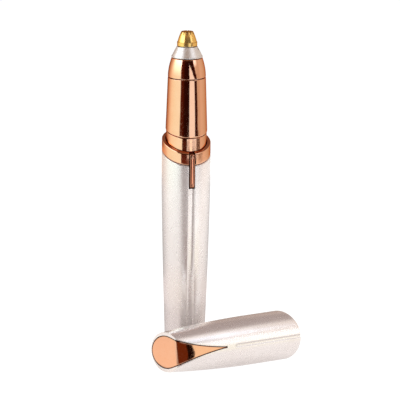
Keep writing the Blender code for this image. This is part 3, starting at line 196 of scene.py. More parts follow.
# Where the two groups stand
TRIMMER_PLACE = Matrix.Rotation(math.radians(-15.4), 4, "Z")
CAP_LIE = Matrix.Rotation(math.radians(90), 4, "Y") @ Matrix.Rotation(math.radians(-8.7), 4, "Z")
LIT_POINT = Vector((0, -10 * MM, 50 * MM))
CAP_PLACE = Matrix.Translation((-28.9 * MM, -37.4 * MM, 8.52 * MM)) @ CAP_LIE


def length(name, description, size):
    return FloatProperty(
        name=name, description=description, default=size, min=0.0, unit="LENGTH", precision=5
    )


def share(name, description, value):
    return FloatProperty(
        name=name, description=description, default=value, min=0.0, max=1.0, subtype="FACTOR"
    )


def tint(name, description, value):
    return FloatVectorProperty(
        name=name, description=description, default=value, min=0.0, max=1.0, subtype="COLOR"
    )


def turning(name, description, value):
    return FloatProperty(name=name, description=description, default=value, subtype="ANGLE")


def amount(name, description, value):
    return FloatProperty(name=name, description=description, default=value, min=0.0)


class TrimmerSizes(bpy.types.PropertyGroup):
    """Main sizes of the trimmer and its cap."""

    body_radius: length("Body radius", "Radius of barrel, ring and cap at their widest", 8.5 * MM)
    base_radius: length("Base radius", "Radius of the barrel at its foot", 7.0 * MM)
    barrel_height: length("Barrel height", "Height of the barrel on its axis", 67.7 * MM)
    groove_low: length("Groove depth below", "Depth of the groove at the foot", 0.62 * MM)
    groove_high: length("Groove depth above", "Depth of the groove at the switch", 0.45 * MM)
    ring_height: length("Ring height", "Height of the collar ring", 4.1 * MM)
    seat_show: length("Seat", "Height of the sleeve that shows over the ring", 3.55 * MM)
    neck_length: length("Neck length", "Length of the shell over the motor", 18.65 * MM)
    head_length: length("Head length", "Length of the rose gold head shell", 6.6 * MM)
    head_top_radius: length("Head top radius", "Radius of the head shell at its top", 5.37 * MM)
    bezel_height: length("Bezel height", "Height of the silver cone", 3.7 * MM)
    guard_height: length("Guard height", "Height of the slotted gold guard", 4.9 * MM)
    guard_radius: length("Guard radius", "Radius of the guard at its band", 3.5 * MM)
    bar_length: length("Bar length", "Length of the switch bar", 12.2 * MM)
    cap_end_length: length("Cap end", "Solid part of the cap at its closed end", 6.6 * MM)
    cap_end_radius: length("Cap end radius", "Radius of the cap at its closed end", 6.87 * MM)
    cap_end_slope: share("Cap end slope", "Lean of the disc at the cap's closed end", 0.268)
    parting_slope: share("Parting slope", "Drop of the parting towards the switch", 0.332)
    parting_bow: share("Parting bow", "Bend of the slanted parting", 0.065)


class TrimmerFinishes(bpy.types.PropertyGroup):
    """Colours and gloss of the outer pieces."""

    pearl: tint("Pearl", "Lacquer of barrel and cap", (0.92, 0.872, 0.862))
    pearl_deep: tint("Pearl depth", "Second tone of the pearl lacquer", (0.84, 0.765, 0.735))
    pearl_roughness: share("Pearl roughness", "Softness of the gloss on the lacquer", 0.26)
    pearl_metal: share("Pearl lustre", "Share of metal flake in the pearl lacquer", 0.72)
    rose: tint("Rose gold", "Plated shells", (0.93, 0.535, 0.35))
    rose_deep: tint("Rose gold depth", "Second tone of the plating", (0.90, 0.47, 0.28))
    # Painted shade: the switch bar gets a darker copy of the rose gold plating
    bar: tint("Bar", "Deeper plating of the switch bar", (0.52, 0.235, 0.15))
    rose_roughness: share("Rose gold roughness", "Softness of the gloss on the plating", 0.07)
    rose_wave: length("Rose gold wave", "Height of the slight waves in the plating", 0.05 * MM)
    gold: tint("Gold", "Guard", (0.94, 0.61, 0.20))
    gold_roughness: share("Gold roughness", "Softness of the gloss on the guard", 0.20)
    silver: tint("Silver", "Bezel", (0.88, 0.855, 0.85))
    silver_roughness: share("Silver roughness", "Softness of the gloss on the bezel", 0.33)


class TrimmerStudio(bpy.types.PropertyGroup):
    """Camera and light."""

    camera_distance: length("Camera distance", "Level distance from the trimmer's axis", 1.0)
    camera_height: length("Camera height", "Height over the floor", 0.2883)
    camera_turn: turning("Camera turn", "Place round the axis", math.radians(-29.95))
    camera_pitch: turning("Pitch", "Lean below level", math.radians(13.38))
    camera_yaw: turning("Yaw", "Turn from the axis", 0.005)
    camera_roll: turning("Roll", "Tilt of the picture", 0.0103)
    focal_share: amount("Focal share", "Focal length over the picture's width", 7.3304)
    key_power: amount("Key light", "Power of the soft key light", 1.1)
    fill_power: amount("Fill light", "Power of the soft fill light", 1.6)
    sky: share("Sky light", "Level of the even light from all round", 0.32)
    screen_radius: length("Screen radius", "Radius of the reflection screen", 0.26)


def taper(full, end, run, power, distance):
    """Radius of a smooth taper: full - (full - end) * (1 - distance / run) ** power."""
    left = np.maximum(0.0, 1 - distance / run)
    return full - (full - end) * left**power


def eased(values):
    """Smooth step of values held between nought and one: 3 v^2 - 2 v^3."""
    held = np.clip(values, 0, 1)
    return held * held * (3 - 2 * held)


def quarter(steps):
    """Quarter round of radius one, from upright to level: sin t and 1 - cos t."""
    turn = np.linspace(0, math.pi / 2, steps)
    return np.sin(turn), 1 - np.cos(turn)


def onward(start, end, steps):
    """Even steps from start to end, the start left out."""
    return np.linspace(start, end, steps + 1)[1:]


def soft_lower(first, second, soft):
    """Lower of two values, rounded where they cross: min - max(soft - |a - b|, 0)^2 / 4 soft."""
    overlap = np.maximum(soft - np.abs(first - second), 0)
    return np.minimum(first, second) - overlap**2 / (4 * soft)


def bezier(corners, steps):
    """Points of a cubic curve through four corners, at an array of steps."""
    left = 1 - steps
    weights = [left**3, 3 * steps * left**2, 3 * steps**2 * left, steps**3]
    return np.stack(weights, -1) @ np.asarray(corners)


def levels(sizes):
    """Lowest and highest level of each piece on the axis, from the foot up, and of the bar."""
    spans, low = {}, sizes.barrel_height + PART_GAP
    for name, height, gap in (
        ("ring", sizes.ring_height, 0),
        ("seat", sizes.seat_show, 0),
        ("neck", sizes.neck_length, PART_GAP),
        ("head", sizes.head_length, PART_GAP),
        ("bezel", sizes.bezel_height, PART_GAP),
        ("guard", sizes.guard_height, 0),
    ):
        spans[name] = (low, low + height)
        low = low + height + gap
    high = spans["ring"][1] - (sizes.parting_slope + sizes.parting_bow) * sizes.body_radius
    spans["bar"] = (high - sizes.bar_length, high)
    return spans


def around(radius, angle, height):
    """Points at a radius, an angle from the switch side and a height: (r sin a, -r cos a, h)."""
    radius, angle, height = np.broadcast_arrays(radius, angle, height)
    return np.stack([radius * np.sin(angle), -radius * np.cos(angle), height], -1)


def revolved(outline):
    """Body of revolution of a closed (radius, height) outline."""
    angles = np.linspace(0, math.tau, SIDES, endpoint=False)
    return around(outline[:, :1], angles, outline[:, 1:])


def lowered(points, still, moved, drop):
    """Heights less a drop, with none of it at the height still and all of it from moved on."""
    part = np.clip((points[..., 2] - still) / (moved - still), 0, 1)
    return np.concatenate([points[..., :2], (points[..., 2] - part * drop)[..., None]], -1)


def parting_drop(points, sizes):
    """Drop of the slanted parting towards the switch: slope * reach + bow * reach^2 / radius."""
    reach = -points[..., 1]
    return sizes.parting_slope * reach + sizes.parting_bow * reach**2 / sizes.body_radius


def neck_drop(points):
    """Drop of the neck's lower edge: slope * reach."""
    return NECK_SLOPE * -points[..., 1]


def dense_angles(middle, reach, fine, cut=None):
    """Angles right round the axis, closer together within a reach in degrees of the middle one.

    A cut adds two columns at plus and minus that angle from the middle.
    """
    reach = math.radians(reach)
    near = np.linspace(-reach, reach, fine + 2)[1:-1]
    if cut is not None:
        near = near[np.abs(np.abs(near) - cut) > reach / fine / 3]
        near = np.sort(np.append(near, [-cut, cut]))
    return middle + np.concatenate([near, np.linspace(reach, math.tau - reach, SIDES)])


def slotted_angles(radius, bore, reach, fine):
    """Angles outside and inside a slotted wall, its open columns of faces, and the slot's points.

    Both walls have columns at the slot's parallel sides, and the rest is spread evenly.
    """
    cut, inner_cut = math.asin(SLOT_WIDTH / 2 / radius), math.asin(SLOT_WIDTH / 2 / bore)
    angles = dense_angles(0, reach, fine, cut)
    side = np.where(angles > math.pi, angles - math.tau, angles)
    away = np.abs(side)
    beyond = inner_cut + (away - cut) * (math.pi - inner_cut) / (math.pi - cut)
    in_slot = away <= cut + TINY
    inner_angles = np.sign(side) * np.where(in_slot, away * inner_cut / cut, beyond)
    return angles, inner_angles, np.abs(angles + np.roll(angles, -1)) / 2 < cut, in_slot


def rounded(corners, cuts, steps=5):
    """Closed outline whose corners become short curves that start a cut before and after them.

    Each curve is (1-s)^2 A + 2 s (1-s) C + s^2 B, from a point A before the corner C to B after it.
    """
    corners, cuts = np.asarray(corners, float), np.asarray(cuts, float)[:, None]
    before, after = np.roll(corners, 1, 0) - corners, np.roll(corners, -1, 0) - corners
    start = corners + before / np.linalg.norm(before, axis=1, keepdims=True) * cuts
    end = corners + after / np.linalg.norm(after, axis=1, keepdims=True) * cuts
    s = np.linspace(0, 1, steps)[:, None]
    curve = (1 - s) ** 2 * start[:, None] + 2 * s * (1 - s) * corners[:, None]
    curve = curve + s**2 * end[:, None]
    return curve[(cuts > 0) | (np.arange(steps) == 0)]


def divided(outline, step):
    """Closed outline with its long runs cut into even steps."""
    closed = np.vstack([outline, outline[:1]])
    along = np.append(0, np.cumsum(np.linalg.norm(np.diff(closed, axis=0), axis=1)))
    places = np.union1d(along[:-1], np.arange(0, along[-1], step))
    return np.stack([np.interp(places, along, closed[:, axis]) for axis in (0, 1)], -1)


def skin(grid, wrap_rows=False, wrap_cols=True):
    """Grid of points as (points, faces), with faces between neighbours and across the wraps."""
    index = np.arange(grid[..., 0].size).reshape(grid.shape[:2])
    if wrap_rows:
        index = np.vstack([index, index[:1]])
    if wrap_cols:
        index = np.hstack([index, index[:, :1]])
    faces = np.stack([index[:-1, :-1], index[:-1, 1:], index[1:, 1:], index[1:, :-1]], -1)
    return grid.reshape(-1, 3), faces.reshape(-1, 4)


def merged(first, second):
    """Two (points, faces) pairs as one."""
    return np.vstack([first[0], second[0]]), np.vstack([first[1], second[1] + len(first[0])])


def wall(outer, inner, open_rows, open_cols, low_pole=False):
    """Closed wall between two grids of the same size that run round the axis.

    Faces in the open rows and columns are left out of both, and every edge of what stays is
    bridged from the outer grid to the inner one, except at a pole.
    """
    index = np.arange(outer[..., 0].size).reshape(outer.shape[:2])
    after = np.roll(index, -1, 1)
    keep = ~np.logical_and.outer(open_rows, open_cols)
    cells = np.stack([index[:-1], after[:-1], after[1:], index[1:]], -1)[keep]

    level = np.zeros(index.shape, int)
    level[:-1] += keep
    level[1:] -= keep
    if low_pole:
        level[0] = 0
    flat = np.nonzero(level)
    i, j = np.nonzero(keep.astype(int) - np.roll(keep, 1, 1))
    near = np.concatenate([index[flat], index[i, j]])
    far = np.concatenate([after[flat], index[i + 1, j]])
    bridges = np.stack([near, far, far + index.size, near + index.size], -1)
    points = np.concatenate([outer.reshape(-1, 3), inner.reshape(-1, 3)])
    return points, np.vstack([cells, cells[:, ::-1] + index.size, bridges])


def grooved(radius, angle, groove_radius, depth, soft):
    """Radius of a round wall with a round-bottomed groove along its switch side.

    The groove's circle has its middle at c = radius + groove_radius - depth, so a ray at
    angle a meets it at c cos a - sqrt(groove_radius^2 - (c sin a)^2).
    """
    centre = radius + groove_radius - depth
    under = groove_radius**2 - (centre * np.sin(angle)) ** 2
    meets = (under > 0) & (np.cos(angle) > 0)
    cut = centre * np.cos(angle) - np.sqrt(np.maximum(under, 0))
    return soft_lower(radius, np.where(meets, cut, 2 * radius), soft)


def barrel_surface(sizes):
    """Barrel: foot, tapered wall with its groove and slanted rim, and the same inside.

    The wall's radius is the taper of its height, lowered by the groove near the switch side.
    """
    full, top = sizes.body_radius, sizes.barrel_height
    taper_run = top - BARREL_STRAIGHT
    slot_low = levels(sizes)["bar"][0] - PART_GAP
    bore = full - BARREL_WALL
    angles, inner_angles, open_cols, in_slot = slotted_angles(full, bore, *BARREL_FINE)
    # Columns in the slot stand straight behind the outer ones, and those left of it keep their gaps
    straight = np.arcsin(np.clip(np.sin(angles) * full / bore, -1, 1))
    beside = angles + (inner_angles - angles)[in_slot].min()
    inner_angles = np.where(in_slot, straight, np.where(angles < 0, beside, inner_angles))

    def side(z):
        return taper(full, sizes.base_radius, taper_run, BARREL_TAPER_POWER, z)

    lower = np.linspace(BARREL_FOOT_EDGE, slot_low, 64)
    rim = top - BARREL_RIM + BARREL_RIM * quarter(5)[0][1:]
    z_wall = np.concatenate([lower, onward(slot_low, top - BARREL_RIM, 21), rim])
    out, up = (part[:-1] for part in quarter(6))
    radius = np.append(side(0.0) - BARREL_FOOT_EDGE + BARREL_FOOT_EDGE * out, side(z_wall))
    z = np.append(BARREL_FOOT_EDGE * up, z_wall)[:, None]
    depth = sizes.groove_low + (sizes.groove_high - sizes.groove_low) * np.clip(z / taper_run, 0, 1)
    carved = grooved(radius[:, None], angles, GROOVE_RADIUS, depth, GROOVE_SOFT)
    edge = np.clip((z - (top - BARREL_RIM)) / BARREL_RIM, 0, 1)
    carved = carved - BARREL_RIM * (1 - np.sqrt(1 - edge**2))
    middle = np.outer([0, side(0.0) / 2], np.ones(len(angles)))
    outer = around(np.vstack([middle, carved]), angles, np.vstack([[[0], [0]], z]))

    stretch = (slot_low - BARREL_FLOOR) / (slot_low - lower[0])
    z_in = np.where(z_wall < slot_low, BARREL_FLOOR + (z_wall - lower[0]) * stretch, z_wall)
    radius_in = side(z_in) - BARREL_WALL
    radius_in = np.append(np.linspace(0, radius_in[0], 8)[:-1], radius_in)
    z_in = np.append(np.full(7, BARREL_FLOOR), z_in)
    inner = around(radius_in[:, None], inner_angles, z_in[:, None])

    slot_rows = np.arange(len(outer)) > len(outer) - len(z_wall) + len(lower) - 2
    points, faces = wall(outer, inner, slot_rows[:-1], open_cols, low_pole=True)
    points = lowered(points, top - LEAN_LENGTH, top, parting_drop(points, sizes))
    # Painted shade: the inner wall's points in the slot's rows and columns are marked dark
    dark = np.logical_and.outer(slot_rows, in_slot)
    return points, faces, np.stack([np.zeros_like(dark), dark])


def ring_surface(sizes):
    """Collar ring: slanted band, rounded edges, notch for the bar, painted shade in its bore.

    Its radius is the body's, less a quarter round at both edges; the heights are slanted in full.
    """
    full = sizes.body_radius
    low, high = levels(sizes)["ring"]
    bore = full - SEAT_STEP + RUN_GAP
    angles, inner_angles, open_cols, _ = slotted_angles(full, bore, *RING_FINE)
    rise, fall = (RING_EDGE * part for part in quarter(7))
    straight = np.linspace(low + RING_EDGE, high - RING_EDGE, 26)[1:-1]
    z = np.concatenate([low + fall, straight, high - RING_EDGE + rise])[:, None]
    drop = np.concatenate([RING_EDGE - rise, 0 * straight, fall])[:, None]
    outer, inner = around(full - drop, angles, z), around(bore, inner_angles, z)
    points, faces = wall(outer, inner, np.ones(len(z) - 1, bool), open_cols)
    points = lowered(points, 0, low / 2, parting_drop(points, sizes))
    # Painted shade in the bore, darker with depth below the ring's top
    deep = eased((high - z - RING_SHADE_START) / RING_SHADE_DEPTH) * np.ones(len(angles))
    return points, faces, np.stack([np.zeros_like(deep), deep])


def seat_surface(sizes):
    """Sleeve that the cap slides over: a stepped tube whose shoulder is slanted like the neck.

    Painted shade darkens it where it enters the ring, fading below a third of the ring's height.
    """
    low = sizes.barrel_height - SEAT_DEPTH
    ring_high, neck_low = levels(sizes)["seat"]
    radius = sizes.body_radius - SEAT_STEP
    bore = radius - SEAT_WALL
    shoulder = neck_low - PART_GAP
    spigot = radius + NECK_STEP - NECK_WALL - PART_GAP
    high = neck_low + SEAT_SPIGOT_LENGTH - PART_GAP
    wide = [(bore, low), (radius, low), (radius, shoulder)]
    narrow = [(spigot, shoulder), (spigot, high), (bore, high)]
    grid = revolved(divided(rounded(wide + narrow, SEAT_CUTS), SEAT_ROW))
    grid = lowered(grid, low, shoulder, neck_drop(grid))
    over = grid[..., 2] - (ring_high - parting_drop(grid, sizes))
    # Painted shade on the seat over the ring's top
    crevice = eased(1 - over / SEAT_SHADE) * eased(2 + 3 * over / sizes.ring_height)
    return *skin(grid, wrap_rows=True), crevice


def neck_surface(sizes):
    """Neck: a tube that narrows evenly with height, its lower edge slanted towards the switch."""
    low, high = levels(sizes)["neck"]
    low_radius = sizes.body_radius - SEAT_STEP + NECK_STEP
    high_radius = low_radius - NECK_TAPER
    outside = [(low_radius, low), (high_radius, high)]
    corners = [(low_radius - NECK_WALL, low), *outside, (high_radius - NECK_WALL, high)]
    grid = revolved(divided(rounded(corners, NECK_CUTS), NECK_ROW))
    grid = lowered(grid, low + NECK_LEAN_LENGTH, low + NECK_EDGE, neck_drop(grid))
    return skin(grid, wrap_rows=True)


def head_surface(sizes):
    """Head shell: radius = taper of the distance below its top, closed by a flat ring above."""
    low, high = levels(sizes)["head"]
    full = sizes.body_radius - SEAT_STEP + NECK_STEP - NECK_TAPER - HEAD_RADIUS_STEP

    def side(z):
        return taper(full, sizes.head_top_radius, sizes.head_length, HEAD_TAPER_POWER, high - z)

    z_out, z_in = np.linspace(low, high, 44), np.linspace(high - HEAD_WALL, low, 24)
    outside = np.stack([side(z_out), z_out], -1)
    inside = np.stack([side(z_in) - HEAD_WALL, z_in], -1)
    corners = np.vstack([outside, [(HEAD_HOLE, high), (HEAD_HOLE, high - HEAD_WALL)], inside])
    cuts = np.zeros(len(corners))
    cuts[0], cuts[len(outside) - 1] = HEAD_LOW_EDGE, HEAD_TOP_EDGE
    return skin(revolved(rounded(corners, cuts)), wrap_rows=True)


def bezel_surface(sizes):
    """Silver cone with a lip below and one round dimple, which has painted shade.

    Near the dimple's middle the radius drops by depth * ease((R - d) / soft), where d is the
    distance over the surface.
    """
    low, high = levels(sizes)["bezel"]
    head = sizes.head_top_radius
    top_radius = sizes.guard_radius + BEZEL_TOP_STEP
    lip = low + BEZEL_LIP_HEIGHT
    corners = [
        (BEZEL_BORE, lip),
        (head - BEZEL_WALL, low),
        (head + BEZEL_LIP, low),
        (head + BEZEL_LIP, lip),
        (head - BEZEL_LIP, lip),
        (top_radius, high),
        (BEZEL_BORE, high),
    ]
    outline = divided(rounded(corners, BEZEL_CUTS), BEZEL_ROW)
    angles = dense_angles(DIMPLE_TURN, *DIMPLE_FINE)
    radius, z = outline[:, :1], outline[:, 1:]
    rise = low + DIMPLE_HEIGHT_SHARE * sizes.bezel_height
    away = np.hypot(radius * (angles - DIMPLE_TURN), z - rise)
    dent = eased((DIMPLE_RADIUS - away) / (DIMPLE_SOFT_SHARE * DIMPLE_RADIUS))
    dent = dent * (radius > top_radius - DIMPLE_MARGIN)
    # The dimple's dent also goes out as painted shade
    return *skin(around(radius - DIMPLE_DEPTH * dent, angles, z), wrap_rows=True), dent


def guard_surface(sizes):
    """Guard: a cup with a band below, a taper over it and twelve slots that run over its top edge.

    A slot's columns lie at asin(offset / radius), so its sides are parallel.
    """
    low, high = levels(sizes)["guard"]
    full, band = sizes.guard_radius, low + GUARD_BAND_HEIGHT
    flat = GUARD_TOP_RADIUS - GUARD_EDGE
    under, slot_end = high - GUARD_WALL, high - GUARD_SLOT_DEPTH

    def side(z):
        return taper(full, GUARD_TOP_RADIUS, sizes.guard_height, GUARD_TAPER_POWER, high - z)

    def middle(edge):
        return np.append(np.linspace(0, GUARD_SLOT_START, 5), onward(GUARD_SLOT_START, edge, 5))

    out, up = (part[1:] for part in quarter(7))
    shoulder = onward(high - GUARD_EDGE, slot_end, 6)
    flank = onward(slot_end, band, 21)
    foot = np.append(
        onward(band, band - GUARD_BAND_STEP, 3), onward(band - GUARD_BAND_STEP, low, 7)
    )
    edge_r = flat + (side(high - GUARD_EDGE) - flat) * out
    step_r = side(band) + (full - side(band)) * onward(0, 1, 3)
    outer_r = [middle(flat), edge_r, side(shoulder), side(flank), step_r, np.full(7, full)]
    outer_z = [np.full(10, high), high - GUARD_EDGE * up, shoulder, flank, foot]
    inner_edge = onward(under, under - GUARD_INNER_EDGE, 6)
    inner_shoulder = onward(inner_edge[-1], slot_end, 6)
    inner_flank = np.concatenate([inner_edge, inner_shoulder, flank])
    top_inner = side(under) - GUARD_WALL
    inner_r = [middle(top_inner), side(inner_flank) - GUARD_WALL, np.full(10, full - GUARD_WALL)]
    inner_z = [np.full(10, under), inner_flank, foot]

    sector = math.tau / GUARD_SLOTS
    across = np.array([-1, -0.5, 0, 0.5])
    between = np.linspace(0, 1, 17)[:-1]
    starts = sector * (np.arange(GUARD_SLOTS) + 0.5)

    def cup(radius, z):
        radius, z = np.concatenate(radius), np.concatenate(z)
        held = np.maximum(radius, GUARD_SLOT_START)[:, None]
        half = np.arcsin(GUARD_SLOT_WIDTH / 2 / held)
        cut = np.arcsin(GUARD_SLOT_WIDTH / 2 * across / held)
        one = np.concatenate([cut, half + (sector - 2 * half) * between], 1)
        angles = (starts[:, None] + one[:, None]).reshape(len(radius), -1)
        return around(radius[:, None], angles, z[:, None])

    outer, inner = cup(outer_r, outer_z), cup(inner_r, inner_z)
    slot_rows = (outer[1:, 0, 2] >= slot_end) & (np.arange(len(outer) - 1) >= 4)
    slot_cols = np.arange(outer.shape[1]) % (len(across) + len(between)) < len(across)
    return wall(outer, inner, slot_rows, slot_cols, low_pole=True)


def bar_surface(sizes):
    """Switch bar: flat back, crowned front that dips at both ends, and the stem behind it.

    Front = face + drop * (share of the end)^power + C - sqrt(C^2 - x^2), a round crown of radius C,
    with a quarter round along both edges.
    """
    low, high = levels(sizes)["bar"]
    face = -(sizes.body_radius + BAR_RISE)
    back = -(sizes.body_radius - BARREL_WALL + RUN_GAP / 2)
    run_in = BAR_END_LENGTH * quarter(9)[1]
    straight = np.linspace(low + BAR_END_LENGTH, high - BAR_END_LENGTH, 12)[1:-1]
    z = np.concatenate([low + run_in, straight, high - run_in[::-1]])[:, None]
    end = np.clip(1 - np.minimum(z - low, high - z) / BAR_END_LENGTH, 0, 1)
    half = BAR_WIDTH / 2 * (1 - BAR_END_NARROWING * end**3)
    q = np.sin(np.linspace(-math.pi / 2, math.pi / 2, 33))
    front_x = half * q
    crown = BAR_CROWN_RADIUS - np.sqrt(BAR_CROWN_RADIUS**2 - front_x**2)
    out = np.clip((np.abs(front_x) - half + BAR_EDGE) / BAR_EDGE, 0, 1)
    crown = crown + BAR_EDGE * (1 - np.sqrt(1 - out**2))
    x = np.concatenate([front_x, front_x[:, ::-1]], 1)
    front_y = face + BAR_END_DROP * end**BAR_END_POWER + crown
    y = np.concatenate([front_y, np.full_like(front_x, back)], 1)
    body = np.stack([x, y, np.broadcast_to(z, x.shape)], -1)
    ends = [np.broadcast_to(ring.mean(0), ring.shape)[None] for ring in (body[0], body[-1])]
    body = np.concatenate([ends[0], body, ends[1]])
    flank = np.append(np.abs(q) > 0.999, np.ones(len(q), bool))

    rise = low + STEM_RISE + STEM_HEIGHT * np.array([0, 0, 1, 1])[:, None]
    shrink = np.array([0.0, 1.0, 1.0, 0.0])[:, None]
    near, far = back - RUN_GAP, -STEM_BACK
    x = shrink * np.array([-1, 1, 1, -1]) * STEM_WIDTH / 2
    y = (near + far) / 2 + shrink * np.array([-1, -1, 1, 1]) * (far - near) / 2
    stem = np.stack([x, y, np.broadcast_to(rise, x.shape)], -1)
    # Painted shade: the bar's flanks and its whole stem are marked dark
    crevice = np.append(np.tile(flank, len(body)), np.ones(x.size))
    return *merged(skin(body), skin(stem)), crevice


def cap_radius(sizes, distance):
    """Outer radius of the cap at a distance from its closed end."""
    return taper(sizes.body_radius, sizes.cap_end_radius, CAP_TAPER, CAP_TAPER_POWER, distance)


def scoop(sizes):
    """Side view of the scooped end: a slanted line, then a curve to the wall.

    Gives fine (reach, distance) points, how far along it they lie from the axis, and stations
    on it that lie closer together towards both ends.
    """
    slope, end = sizes.cap_end_slope, sizes.cap_end_radius
    back = end
    for _ in range(20):
        back = cap_radius(sizes, -back * slope)
    start, bend = end * SCOOP_START_SHARE, end * SCOOP_BEND_SHARE
    tail = cap_radius(sizes, SCOOP_LENGTH)
    corners = [
        (start, start * slope),
        (bend, bend * slope),
        (tail * SCOOP_TAIL_SHARES[0], SCOOP_LENGTH * SCOOP_TAIL_SHARES[1]),
        (tail, SCOOP_LENGTH),
    ]
    fine = np.vstack([(-back, -back * slope), bezier(corners, np.linspace(0, 1, 400))])
    runs = np.append(0, np.cumsum(np.linalg.norm(np.diff(fine, axis=0), axis=1)))
    runs -= back * math.hypot(1, slope)
    disc = -back * np.cos(np.linspace(0, math.pi / 2, 40))
    curve = bezier(corners, 1 - (1 - np.linspace(0, 1, 70)) ** 2)[:, 0]
    reach = np.concatenate([disc, np.linspace(0, start, 22)[1:-1], curve])
    return fine, runs, np.interp(reach, fine[:, 0], runs)


def on_scoop(fine, runs, distance, x, sunk):
    """Points across the scoop at distances along it, sunk below it by depths."""

    def place(along):
        return np.stack([np.interp(along, runs, fine[:, axis]) for axis in (0, 1)], -1)

    chord = place(distance + SCOOP_CHORD) - place(distance - SCOOP_CHORD)
    chord /= np.linalg.norm(chord, axis=1, keepdims=True)
    reach, up = place(distance).T[..., None]
    return np.stack([x, chord[:, 1:] * sunk - reach, up + chord[:, :1] * sunk], -1)


def teardrop_half(sizes, distance, grow):
    """Half width of the teardrop along the scoop: half an ellipse, then a curve to the tail.

    Gives the half widths and how far back the ellipse reaches.
    """
    across = sizes.cap_end_radius - RIM_SIDE
    back = cap_radius(sizes, -sizes.cap_end_radius * sizes.cap_end_slope)
    back = back * math.hypot(1, sizes.cap_end_slope) - RIM_BACK + grow
    round_part = (across + grow) * np.sqrt(np.maximum(1 - (distance / back) ** 2, 0))
    corners = [
        (0, across),
        (TAIL_LENGTH * TAIL_ROUND_SHARE, across),
        (TAIL_LENGTH * TAIL_NARROW_SHARES[0], across * TAIL_NARROW_SHARES[1]),
        (TAIL_LENGTH, 0),
    ]
    curve = bezier(corners, np.linspace(0, 1, 200))
    tail_part = np.maximum(np.interp(distance, curve[:, 0], curve[:, 1]), INSERT_TAIL) + grow
    return np.where(distance < 0, round_part, tail_part), back


def cap_surface(sizes):
    """Cap: scooped face with the teardrop's pocket, tapered wall with its groove, mouth and cavity.

    Face rows run across the scoop at stations along it, to the half width sqrt(R(u)^2 - reach^2);
    wall columns start at the ends of those rows and run up to the mouth at a constant angle.
    """
    full, at = sizes.body_radius, levels(sizes)
    total = sizes.cap_end_length + CAP_TIP_CLEARANCE + at["guard"][1] - at["ring"][1]
    fine, runs, distance = scoop(sizes)
    ends = [-teardrop_half(sizes, np.zeros(1), INSERT_SEAM)[1], TAIL_LENGTH + INSERT_SEAM]
    distance = np.sort(np.concatenate([distance, ends, ends]))
    start, stop = np.searchsorted(distance, ends) + 1
    middle = on_scoop(fine, runs, distance, np.zeros((len(distance), 1)), 0)[:, 0]
    reach, rise = -middle[:, 1], middle[:, 2]
    half = np.sqrt(np.maximum(cap_radius(sizes, rise) ** 2 - reach**2, 0))
    half[0] = half[-1] = 0
    pocket = teardrop_half(sizes, distance, INSERT_SEAM)[0]
    pocket[: start + 1] = 0
    pocket[stop + 1 :] = np.minimum(pocket, POCKET_END_SHARE * half)[stop + 1 :]
    depth = np.zeros(len(distance))
    depth[start:stop] = POCKET_DEPTH

    q = np.linspace(0, 1, 6)
    right = [pocket[:, None] * q, pocket[:, None] + (half - pocket)[:, None] * q]
    right = np.concatenate(right, 1)
    sunk = depth[:, None] * np.repeat([0, 1, 0], [6, 11, 6])
    across = np.concatenate([-right[:, ::-1], right[:, 1:]], 1)
    face = on_scoop(fine, runs, distance, across, sunk)

    loop = np.append(np.arange(len(half)), np.arange(len(half) - 2, 0, -1))
    side = np.append(np.ones(len(half)), -np.ones(len(half) - 2))
    angle = np.arctan2(half[loop] * side, reach[loop])
    edge = CAP_MOUTH_EDGE
    u = rise[loop] + (total - edge - rise[loop]) * np.linspace(0, 1, 84)[:, None] ** CAP_ROW_POWER
    run_in = np.clip((u - SCOOP_LENGTH) / CAP_GROOVE_RUN_IN, 0, 1)
    plain_radius = cap_radius(sizes, u)
    depth = np.maximum(CAP_GROOVE_DEPTH * run_in, CAP_GROOVE_LEAST)
    cut = grooved(plain_radius, angle, CAP_GROOVE_RADIUS, depth, CAP_GROOVE_SOFT)
    radius = plain_radius + (cut - plain_radius) * eased(run_in)
    # Painted shade: two thin dark lines along the groove, strongest halfway down its sides
    sunken = np.clip((plain_radius - radius) / CAP_GROOVE_DEPTH, 0, 1)
    lines = GROOVE_PAINTED_SHADE * 4 * sunken * (1 - sunken)

    out, up = (edge * part[1:] for part in quarter(5))
    bore = full - CAP_WALL
    hollow = onward(total - edge, sizes.cap_end_length, 43)
    deep = hollow - sizes.cap_end_length
    hollow_r = taper(bore, CAVITY_END_RADIUS, CAVITY_TAPER, CAVITY_TAPER_POWER, deep)
    inner_r = [full - up, bore + edge - out, hollow_r, [CAVITY_END_RADIUS / 2, 0]]
    inner_u = [total - edge + out, total - up, hollow, [sizes.cap_end_length] * 2]
    inner_r, inner_u = np.concatenate(inner_r)[:, None], np.concatenate(inner_u)[:, None]
    row = np.arange(len(inner_r))[:, None]
    inner_r = inner_r + (radius[-1] - full) * np.exp(-row / 3) * (row < 4)
    inner = around(inner_r, angle, inner_u)
    tube = np.concatenate([around(radius, angle, u), inner])
    tube = lowered(tube, total - CAP_LEAN_LENGTH, total - edge, -parting_drop(tube, sizes))
    shape = merged(skin(face, wrap_cols=False), skin(tube))
    # Painted shade: the pocket in the face is marked dark, and the groove gets its lines
    return *shape, np.concatenate([(sunk > 0).ravel(), lines.ravel(), np.zeros(inner[..., 0].size)])


